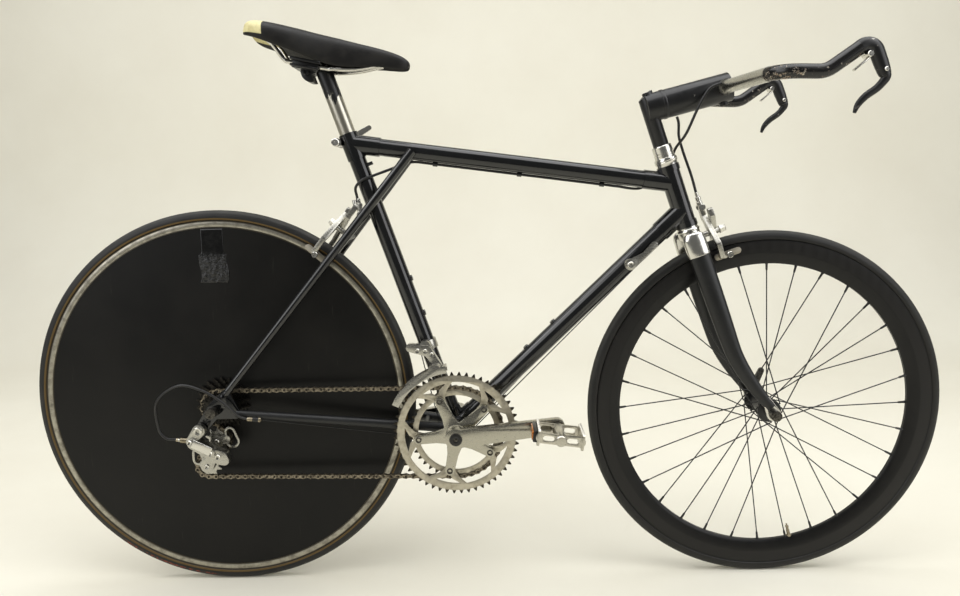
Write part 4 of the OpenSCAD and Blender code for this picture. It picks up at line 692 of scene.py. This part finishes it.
# Gears: a derailleur under the right dropout, a cage over the chainrings and two levers on the down tube.
# They are forged aluminium with steel pivots, polished, with black grease in every hollow.
eased("front_derailleur", alloy, "frame", 0.6)
eased("rear_derailleur", alloy, "frame", 1.4)
eased("shift_levers", alloy, "frame", 1.0)
eased("derailleur_cage", alloy, "frame", 0.4)
pivots = bmesh.new()
DISH = [(0, -1), (2.6, -1), (2.6, 1.6), (4.4, 2), (5.2, 1.2), (5.4, -2), (0, -2)]
for x, z, y, size in ((-22, 305, -85.5, 1.35), (-37, 286, -86.5, 0.8), (-4, 266, -86.5, 0.8),
                      (6, 258, -80.5, 0.9), (-5, 275, -51.5, 0.8), (-26, 230, -51.5, 0.8)):
    turned(pivots, [(r * size, s) for r, s in DISH], at(x, y, z), (0, -1, 0), 20)
for x, z, y in ((368, 417, -38), (344, 424, -38), (357, 423, -38), (380, 381, -39)):
    turned(pivots, [(r * 0.8, s) for r, s in DISH], at(x, y, z), (0, -1, 0), 18)
for side in (-1, 1):
    turned(pivots, [(r * 1.1, s) for r, s in DISH], at(705, side * 34, 562), (0, side, 0), 20)
piece("gear_pivots", pivots, chrome, "frame", (), 30)
slot_plate = bmesh.new()
slab(slot_plate, at(-17, -88, 277.5), Vector((0.89, 0, -0.46)), Vector((0.46, 0, 0.89)), (34, 3, 15), 1.2)
piece("derailleur_link_plate", slot_plate, chrome, "frame")

# Chain: stamped steel links riveted in turn inside and outside, with rollers between them.
# It runs round the inner ring, the fourth sprocket and the two pulleys, and is brown with old oil.
CHAIN_Y, PITCH, LINK_R, LINK_WAIST = -42.5, 12.7, 4.1, 2.5


def pitch_r(teeth):
    """The radius of a wheel's pitch circle."""
    return PITCH / (2 * math.sin(math.pi / teeth))


CHAIN_WHEELS = ((BB, pitch_r(39), 1), ((-26, 230), pitch_r(10), 1), ((-5, 275), pitch_r(10), -1),
                ((0, 334), pitch_r(14), 1))


def tangent(a, b):
    """Where the chain leaves one wheel and reaches the next."""
    (ax, az), ra, sa = a
    (bx, bz), rb, sb = b
    arc = math.acos((ra - sa * sb * rb) / math.hypot(bx - ax, bz - az))
    turn = math.atan2(bz - az, bx - ax) + sa * arc
    out = Vector((math.cos(turn), math.sin(turn)))
    return Vector((ax, az)) + ra * out, Vector((bx, bz)) + sa * sb * rb * out


chain_pins = []
for i, wheel in enumerate(CHAIN_WHEELS):
    mid = Vector(wheel[0])
    came, goes = tangent(CHAIN_WHEELS[i - 1], wheel)[1] - mid, tangent(wheel, CHAIN_WHEELS[(i + 1) % 4])
    a0, a1 = math.atan2(came.y, came.x), math.atan2(goes[0].y - mid.y, goes[0].x - mid.x)
    sweep = -((a0 - a1) % (2 * math.pi)) if wheel[2] > 0 else (a1 - a0) % (2 * math.pi)
    steps = max(2, math.ceil(abs(sweep) * wheel[1] / PITCH))
    chain_pins += [mid + wheel[1] * Vector((math.cos(a0 + sweep * k / steps),
                                            math.sin(a0 + sweep * k / steps)))
                   for k in range(steps + 1)]
    run = max(1, round((goes[1] - goes[0]).length / PITCH))
    chain_pins += [goes[0].lerp(goes[1], k / run) for k in range(1, run)]


def oiled_steel(name, bright, oily, rough):
    """Bare steel under old oil: brown-grey metal, black and dull where the oil has gathered."""
    finish, tree, mm = start_material(name)
    oil = patches(tree, mm, 4, 0.4, 0.65)
    close_material(tree, Base_Color=mixed(tree, oil, linear(bright), linear(oily)), Metallic=0.9,
                   Roughness=mixed(tree, oil, rough, rough + 0.22))
    return finish


links = bmesh.new()
rivets = bmesh.new()
for i, here in enumerate(chain_pins):
    there = chain_pins[(i + 1) % len(chain_pins)]
    along = (there - here).normalized()
    rise = Vector((-along.y, along.x))
    outer = i % 2
    outline = []
    for pin, first, waist in ((here, 60, -LINK_WAIST), (there, 240, LINK_WAIST)):
        outline += [pin + LINK_R * (along * math.cos(a) + rise * math.sin(a))
                    for a in (math.radians(q) for q in range(first, first + 241, 40))]
        outline.append((here + there) / 2 + rise * waist)
    for inside in ((-3.3, -2.2) if outer else (-2.1, -1.1)), ((2.2, 3.3) if outer else (1.1, 2.1)):
        face = links.faces.new([links.verts.new(at(p.x, CHAIN_Y + inside[0], p.y)) for p in outline])
        raised(links, [face], (0, (inside[1] - inside[0]) / 1000, 0))
    turn = Matrix.Translation(at(here.x, CHAIN_Y, here.y)) @ Matrix.Rotation(math.pi / 2, 4, "X")
    for sides, r, long in ((8, 0.0019, 0.0084), (10, 0.0037, 0.0021)):
        bmesh.ops.create_cone(rivets, cap_ends=True, segments=sides, radius1=r, radius2=r, depth=long,
                              matrix=turn)
bmesh.ops.recalc_face_normals(links, faces=links.faces)
chain_steel = oiled_steel("oiled chain steel", "#8d8474", "#3a342b", 0.3)
piece("chain_links", links, chain_steel, "frame", ["chain"], 30)
piece("chain_rivets", rivets, oiled_steel("dark chain rivets", "#3c3832", "#161412", 0.35), "frame",
      (), 30)

# Axles: hollow steel spindles, clamped in the dropouts by a skewer.
# Each has a quick-release nut on the right and a lever on the left, dark with old oil.
oiled = oiled_steel("oiled hub steel", "#5d5a54", "#1d1b19", 0.3)
eased("rear_axle", oiled, "frame", 0.8)
eased("front_axle", oiled, "steering", 0.8)

# Front tyre: a narrow tubular, all black, glued to its rim, with a smooth tread worn grey on its crown.
# Its colours follow the distance from the hub.


def off_axle(tree, mm, centre):
    """Distance in mm from an axle, and the angle round it in degrees."""
    shift = add(tree, "VectorMath", {0: mm, 1: centre * 1000}, operation="SUBTRACT").outputs[0]
    flat = add(tree, "VectorMath", {0: shift, 1: (1, 0, 1)}, operation="MULTIPLY").outputs[0]
    reach = add(tree, "VectorMath", {0: flat}, operation="LENGTH").outputs["Value"]
    parts = add(tree, "SeparateXYZ", {0: flat})
    turn = add(tree, "Math", {0: parts.outputs["Z"], 1: parts.outputs["X"]}, operation="ARCTAN2").outputs[0]
    return reach, add(tree, "Math", {0: turn, 1: 180 / math.pi}, operation="MULTIPLY").outputs[0]


def band(tree, value, low, high, soft):
    """1 where a value lies between two limits, with soft edges."""
    rise = add(tree, "MapRange", {"Value": value, "From Min": low - soft, "From Max": low + soft}).outputs[0]
    fall = add(tree, "MapRange", {"Value": value, "From Min": high + soft,
                                  "From Max": high - soft}).outputs[0]
    return add(tree, "Math", {0: rise, 1: fall}, operation="MULTIPLY").outputs[0]


def tyre_rubber(name, centre, seat_r, outer_r, tape_code, label):
    """Vulcanised rubber: matt black, greyer on the tread, with the glued base tape showing at the rim."""
    finish, tree, mm = start_material(name)
    reach, turn = off_axle(tree, mm, centre)
    tread = add(tree, "MapRange", {"Value": reach, "From Min": outer_r - 6,
                                   "From Max": outer_r - 2}).outputs[0]
    bloom = patches(tree, mm, 40, 0.35, 0.75)
    black = mixed(tree, bloom, linear("#131312"), linear("#201f1d"))
    colour = mixed(tree, tread, black, mixed(tree, bloom, linear("#2b2b28"), linear("#383733")))
    colour = mixed(tree, band(tree, reach, seat_r + 1.2, seat_r + 4.2, 0.3), colour, linear(tape_code))
    if label:
        streak = patches(tree, mm, 6, 0.46, 0.56, 8)
        zone = add(tree, "Math", {0: band(tree, turn, -128, -98, 2),
                                  1: band(tree, reach, outer_r - 8.5, outer_r - 5, 0.4)},
                   operation="MULTIPLY").outputs[0]
        zone = add(tree, "Math", {0: zone, 1: streak}, operation="MULTIPLY").outputs[0]
        colour = mixed(tree, zone, colour, linear("#7d3420"))
    grit = patches(tree, mm, 1.2, 0.3, 0.7, 3)
    close_material(tree, Base_Color=colour, Roughness=mixed(tree, tread, 0.48, 0.66),
                   Specular_IOR_Level=0.35, bump=(grit, 0.05))
    return finish


FRONT = at(FRONT_HUB[0], 0, FRONT_HUB[1])
SEAT_F, TOP_F = 290, 306


def tyre_section(seat, top, half):
    """A tubular's section as (radius, across), from its base tape round the casing and over the tread."""
    mid = top - half
    ring = [(seat + 0.05, -half * 0.72), (seat + 1.4, -half * 0.86)]
    ring += [(mid + half * math.sin(a), -half * math.cos(a))
             for a in (math.radians(q) for q in (-18, 0, 18, 34))]
    ring += [(mid + half * math.sin(a) + 0.5, -half * math.cos(a))
             for a in (math.radians(q) for q in (38, 52, 66, 79))]
    ring += [(top, 0)]
    ring += [(r, -y) for r, y in ring[-2::-1]]
    return ring + ring[:1]


front_tyre = bmesh.new()
turned(front_tyre, tyre_section(SEAT_F, TOP_F, 10.5), FRONT, (0, 1, 0), 160)
front_rubber = tyre_rubber("black tyre rubber", FRONT, SEAT_F, TOP_F, "#171614", False)
piece("front_tyre_casing", front_tyre, front_rubber, "front_wheel", ["front_tyre"], 30)

# Front rim: a deep rolled aluminium rim, black all over, with a brake track below the tyre.
# Spokes of black steel wire are laced three-cross and drawn tight by nipples in its inner edge.


def rim_black():
    """Hard black anodising: deep satin black, rubbed a little greyer round the brake track."""
    finish, tree, mm = start_material("hard black anodising")
    reach = off_axle(tree, mm, FRONT)[0]
    track = band(tree, reach, 270, 288, 1)
    rings = add(tree, "TexWave", {"Vector": mm, "Scale": 1 / 60, "Distortion": 3, "Detail": 3}).outputs["Fac"]
    cloud = patches(tree, mm, 60, 0.35, 0.75)
    black = mixed(tree, cloud, linear("#0b0b0b"), linear("#131211"))
    close_material(tree, Base_Color=mixed(tree, track, black, linear("#191817")), Specular_IOR_Level=0.28,
                   Roughness=mixed(tree, rings, 0.3, 0.38))
    return finish


rim = bmesh.new()
turned(rim, [(250, -2.6), (252, -4.6), (256, -6.2), (264, -8.3), (268, -9.3), (270, -9.5), (287, -9.5),
             (290, -9.2), (290, 9.2), (287, 9.5), (270, 9.5), (268, 9.3), (264, 8.3), (256, 6.2),
             (252, 4.6), (250, 2.6), (250, -2.6)],
       FRONT, (0, 1, 0), 160)
piece("front_rim_shell", rim, rim_black(), "front_wheel", ["front_rim"], 40)
spoke_black = moulded_plastic("black oxide steel", "#101010", "#1f1e1c")
dress(["front_spokes"], spoke_black)
SPOKES = 32
nipples = bmesh.new()
for i in range(SPOKES):
    turn = 360 * i / SPOKES
    side = 1 if i % 2 == 0 else -1
    lead = 1 if i // 2 % 2 == 0 else -1
    start = FRONT + lean(turn - lead * 70) * 0.0213 + Vector((0, side * 0.033, 0))
    end = FRONT + lean(turn) * 0.2496 + Vector((0, side * 0.0015, 0))
    pull = (start - end).normalized()
    turned(nipples, [(0, -2), (2.6, -2), (2.6, 1), (2.1, 1.4), (1.9, 10), (1.4, 12), (0, 12)], end, pull, 8)
    turned(nipples, [(0, -2.2), (2.4, -2.2), (2.4, 2.6), (0, 2.6)], start + (FRONT - start) * 0.12,
           (0, 1, 0), 8)
piece("front_nipples", nipples, spoke_black, "front_wheel", (), 30)
valve = bmesh.new()
valve_dir = Vector((52.4, 0, -229)).normalized()
turned(valve, [(0, -2), (4.6, -2), (4.6, 0.6), (3, 1.4), (3, 10), (2.4, 11), (2.4, 15), (3, 15.6), (3, 18),
               (1.4, 19), (1.4, 22), (0, 22)], FRONT + valve_dir * 0.250, -valve_dir, 14)
piece("front_valve", valve, brass, "front_wheel", (), 30)
eased("front_hub", anodised, "front_wheel", 0.8)

# Rear tyre and rim: a black tubular with gum-coloured base tape, on a narrow polished rim.
# A red patch has worn to a streak low on the sidewall.
REAR = at(0, 0, 334)
SEAT_R, TOP_R = 317, 334
rear_tyre = bmesh.new()
turned(rear_tyre, tyre_section(SEAT_R, TOP_R, 11.5), REAR, (0, 1, 0), 176)
rear_rubber = tyre_rubber("gum-wall tyre rubber", REAR, SEAT_R, TOP_R, "#56431f", True)
piece("rear_tyre_casing", rear_tyre, rear_rubber, "rear_wheel", ["rear_tyre"], 30)


def track_alloy():
    """Turned aluminium brake track: fine rings that pull reflections out along them, dark at its edges."""
    finish, tree, mm = start_material("turned aluminium rim")
    reach = off_axle(tree, mm, REAR)[0]
    wave = add(tree, "Math", {0: reach, 1: 4.0}, operation="MULTIPLY").outputs[0]
    ripple = add(tree, "Math", {0: wave}, operation="SINE").outputs[0]
    grime = patches(tree, mm, 12, 0.42, 0.7)
    edge = band(tree, reach, 307, 315, 0.7)
    bright = mixed(tree, grime, linear("#a9a598"), linear("#77736a"))
    close_material(tree, Base_Color=mixed(tree, edge, linear("#4a463e"), bright), Metallic=1.0,
                   Roughness=mixed(tree, grime, 0.3, 0.44), bump=(ripple, 0.02))
    return finish


rear_rim = bmesh.new()
turned(rear_rim, [(305, -9.2), (306, -9.5), (307, -9), (308, -9.5), (315, -9.5), (316, -9), (317, -9.2),
                  (317, 9.2), (316, 9), (315, 9.5), (308, 9.5), (307, 9), (306, 9.5), (305, 9.2),
                  (305, -9.2)], REAR, (0, 1, 0),
       176)
piece("rear_rim_track", rear_rim, track_alloy(), "rear_wheel", ["rear_rim"], 50)

# Disc: two shallow cones of black laminate bonded to the rim, with nothing on them but scuffs.
# A strip of black tape covers the valve's hole, and its lower end has come loose and crumpled.


def black_laminate():
    """Gel-coated laminate: smooth satin black, with hair-fine scuffs and a bloom of dust."""
    finish, tree, mm = start_material("gel-coated black laminate")
    hair = add(tree, "Mapping", {"Vector": mm, "Rotation": (0, 0.5, 0), "Scale": (1, 1, 0.06)}).outputs[0]
    scuff = patches(tree, hair, 4, 0.66, 0.74, 9)
    dust = patches(tree, mm, 120, 0.35, 0.7)
    black = mixed(tree, dust, linear("#0b0b0a"), linear("#12110f"))
    close_material(tree, Base_Color=mixed(tree, scuff, black, linear("#24231f")),
                   Roughness=mixed(tree, dust, 0.34, 0.42), Specular_IOR_Level=0.2)
    return finish


dress(["rear_disc"], black_laminate())


def vinyl_tape():
    """Stretched vinyl tape: glossy black, wrinkled into sharp bright creases."""
    finish, tree, mm = start_material("black vinyl tape")
    crease = patches(tree, mm, 7, 0.35, 0.65, 5)
    height = add(tree, "SeparateXYZ", {0: mm}).outputs["Z"]
    flat_z = at(0, 0, 598).z * 1000
    loose = add(tree, "MapRange", {"Value": height, "From Min": flat_z, "From Max": flat_z - 12}).outputs[0]
    close_material(tree, Base_Color=mixed(tree, crease, linear("#060606"), linear("#0e0e0d")),
                   Roughness=mixed(tree, crease, 0.1, 0.2), bump=(mixed(tree, loose, 0.5, crease), 0.8))
    return finish


tape = bmesh.new()
bmesh.ops.create_grid(tape, x_segments=24, y_segments=40, size=0.5)
DISC_HUB_R, DISC_RIM_R, DISC_HUB_Y, DISC_RIM_Y = 20.05, 304.95, -20, -9
for vert in tape.verts:
    u, v = vert.co.x + 0.5, vert.co.y + 0.5
    loose = max(0.0, 1 - v / 0.58)
    x = -22 + 38 * u + 4 * math.sin(9 * v) * loose + (0 if v > 0.55 else (u - 0.5) * 10)
    z = 545 + 92 * v
    reach = math.hypot(x, z - 334)
    skin = DISC_HUB_Y + (DISC_RIM_Y - DISC_HUB_Y) * (reach - DISC_HUB_R) / (DISC_RIM_R - DISC_HUB_R)
    fold = 4.5 * loose * abs(noise.noise(Vector((x / 9, z / 13, 1.7)))) * 1.6
    edge_in = min(u, 1 - u, v, 1 - v) * 6
    vert.co = at(x, skin - 0.35 - fold * min(1, edge_in), z)
taped = piece("valve_tape", tape, vinyl_tape(), "rear_wheel", (), 60)
thick = taped.modifiers.new("thick", "SOLIDIFY")
thick.thickness, thick.offset = 0.0003, 0
dress(["rear_hub", "cassette"], oiled_steel("blackened steel", "#35332f", "#141312", 0.32))

# Cranks: forged aluminium arms on a square steel spindle, the right one with five arms for the rings.
# Black caps close the spindle's ends, and steel bolts hold the rings.
eased("crank_right", polished_alloy("polished forging", "#aaa79b", "#6a665b", 0.2, 0.3, 0.0), "crank", 2.2)
eased("crank_left", alloy, "crank", 2.2)
dress(["crank_spindle", "pedal_axles"], oiled)
caps = bmesh.new()
CRANK_ANGLE = 6.5
for side in (-1, 1):
    turned(caps, [(0, 0.6), (3.4, 0.6), (3.4, 2.4), (5.4, 3), (5.8, 2.2), (9.4, 2.2), (10.8, 1.4),
                  (10.8, -0.4), (0, -0.4)],
           at(BB[0], side * 81.2, BB[1]), (0, side, 0), 32)
piece("crank_caps", caps, moulded_plastic("black moulded cap", "#0c0b0b", "#1a1918"), "crank", (),
      30)
ring_bolts = bmesh.new()
for k in range(5):
    place = at(BB[0], -58.6, BB[1]) + lean(CRANK_ANGLE + 180 + 72 * k) * 0.065
    turned(ring_bolts, [(0, -1), (2.7, -1), (2.9, 1.4), (4.6, 1.6), (5.2, 0.8), (5.2, -3), (0, -3)],
           place, (0, -1, 0), 20)
piece("ring_bolts", ring_bolts, oiled, "crank", (), 30)

# Chainrings: blanked and turned from hard aluminium plate, and bolted to the crank's arms.
# Their flanks keep a dull skin, and the teeth are dark, partly with oil and partly as painted shade.


def ring_alloy(name, tooth_r):
    """Blanked aluminium plate: dull grey-beige rings, going dark at the teeth with oil and painted shade."""
    finish, tree, mm = start_material(name)
    reach = off_axle(tree, mm, at(BB[0], 0, BB[1]))[0]
    wave = add(tree, "Math", {0: reach, 1: 2.6}, operation="MULTIPLY").outputs[0]
    ripple = add(tree, "Math", {0: wave}, operation="SINE").outputs[0]
    # The band at the teeth is painted dark: oil on the teeth, with painted shade between them.
    teeth = add(tree, "MapRange",
                {"Value": reach, "From Min": tooth_r - 4.5, "From Max": tooth_r - 2}).outputs[0]
    grime = patches(tree, mm, 10, 0.45, 0.75)
    plain = mixed(tree, grime, linear("#b8b2a2"), linear("#979080"))
    close_material(tree, Base_Color=mixed(tree, teeth, plain, linear("#37332b")), Metallic=0.9,
                   Roughness=mixed(tree, grime, 0.36, 0.5), bump=(ripple, 0.03))
    return finish


eased("outer_chainring", ring_alloy("turned ring plate", pitch_r(52)), "crank", 0.35)
eased("inner_chainring", ring_alloy("turned inner ring plate", pitch_r(39)), "crank", 0.35)

# Pedals: cast aluminium cages with teeth, each on a steel axle under a dust cap.
# An amber reflector is pressed into a black holder behind each cage.
pedal_alloy = polished_alloy("cast pedal aluminium", "#bcb8ad", "#6a655b", 0.24, 0.34, 0.04)
eased("pedal_right", pedal_alloy, "right_pedal", 0.7)
eased("pedal_left", pedal_alloy, "left_pedal", 0.7)
PEDAL_TILT = 8


def amber_acrylic():
    """Moulded amber acrylic: glossy orange over a grid of prisms."""
    finish, tree, mm = start_material("amber acrylic")
    prisms = add(tree, "TexChecker", {"Vector": mm, "Scale": 1 / 3}).outputs["Fac"]
    close_material(tree, Base_Color=mixed(tree, prisms, linear("#c8761a"), linear("#8f4d10")), Roughness=0.14,
                   Coat_Weight=0.4, bump=(prisms, 0.2))
    return finish


amber = amber_acrylic()
holder_black = moulded_plastic("black moulded holder", "#0e0d0d", "#1c1b1a")
tilt, tilt_up = lean(-PEDAL_TILT), lean(90 - PEDAL_TILT)
for body, side, place in (("right_pedal", -1, (575.91, 300.25)), ("left_pedal", 1, (238.09, 261.76))):
    back = at(place[0], side * 119, place[1]) - tilt * 0.0385
    holder, glass = bmesh.new(), bmesh.new()
    slab(holder, back - tilt * 0.0015, tilt, tilt_up, (7, 50, 19), 1.6)
    slab(glass, back - tilt * 0.0052, tilt, tilt_up, (3, 44, 13.5), 0.9)
    piece(body + "_reflector_holder", holder, holder_black, body)
    piece(body + "_reflector", glass, amber, body)
    dust = bmesh.new()
    turned(dust, [(0, 0), (9, 0), (9, 2.4), (7.6, 4), (0, 4.6)], at(place[0], side * 150, place[1]),
           (0, side, 0), 28)
    piece(body + "_dust_cap", dust, pedal_alloy, body)

# Studio: a pale painted floor that sweeps up behind the bicycle.
# It is lit by a wide soft lamp above and one on either side.
sweep_work = bmesh.new()
line = [sweep_work.verts.new(at(-4500, y, z)) for y, z in ((-2300, 0), (1400, 0))]
line += [sweep_work.verts.new(at(-4500, 1400 + 900 * math.sin(a), 900 - 900 * math.cos(a)))
         for a in (math.radians(10 * k) for k in range(1, 10))]
line.append(sweep_work.verts.new(at(-4500, 2300, 4000)))
edges = [sweep_work.edges.new(pair) for pair in zip(line, line[1:])]
bmesh.ops.translate(sweep_work, verts=extruded(sweep_work, edges)[0], vec=(10, 0, 0))
for face in sweep_work.faces:
    face.smooth = True
sweep_mesh = bpy.data.meshes.new("studio_sweep")
sweep_work.to_mesh(sweep_mesh)
sweep_work.free()
sweep = bpy.data.objects.new("studio_sweep", sweep_mesh)
bpy.context.scene.collection.objects.link(sweep)
finish, tree, mm = start_material("painted studio floor")
cloud = patches(tree, mm, 600, 0.3, 0.7)
close_material(tree, Base_Color=mixed(tree, cloud, linear("#e4e1d3"), linear("#dedacb")), Roughness=0.75)
sweep_mesh.materials.append(finish)


def lamp(name, place, aim, size, power):
    """A soft rectangular lamp."""
    data = bpy.data.lights.new(name, "AREA")
    data.shape = "RECTANGLE"
    data.size, data.size_y = size
    data.energy = power
    made = bpy.data.objects.new(name, data)
    bpy.context.scene.collection.objects.link(made)
    made.location = place
    made.rotation_euler = (aim - place).to_track_quat("-Z", "Y").to_euler()


middle = at(470, 0, 450)
lamp("overhead_lamp", at(470, -150, 2800), at(470, 250, 300), (5.6, 2.2), 118)
lamp("left_lamp", at(-1900, -1700, 1700), middle, (2.0, 2.4), 36)
lamp("right_lamp", at(2900, -1500, 1700), middle, (2.0, 2.4), 36)
world = bpy.data.worlds.new("studio_air")
bpy.context.scene.world = world
world.use_nodes = True
world.node_tree.nodes.clear()
air = add(world.node_tree, "Background", {"Color": linear("#e6e6e2"), "Strength": 0.2})
add(world.node_tree, "OutputWorld", {"Surface": air.outputs[0]})
bpy.context.scene.view_settings.view_transform = "Standard"
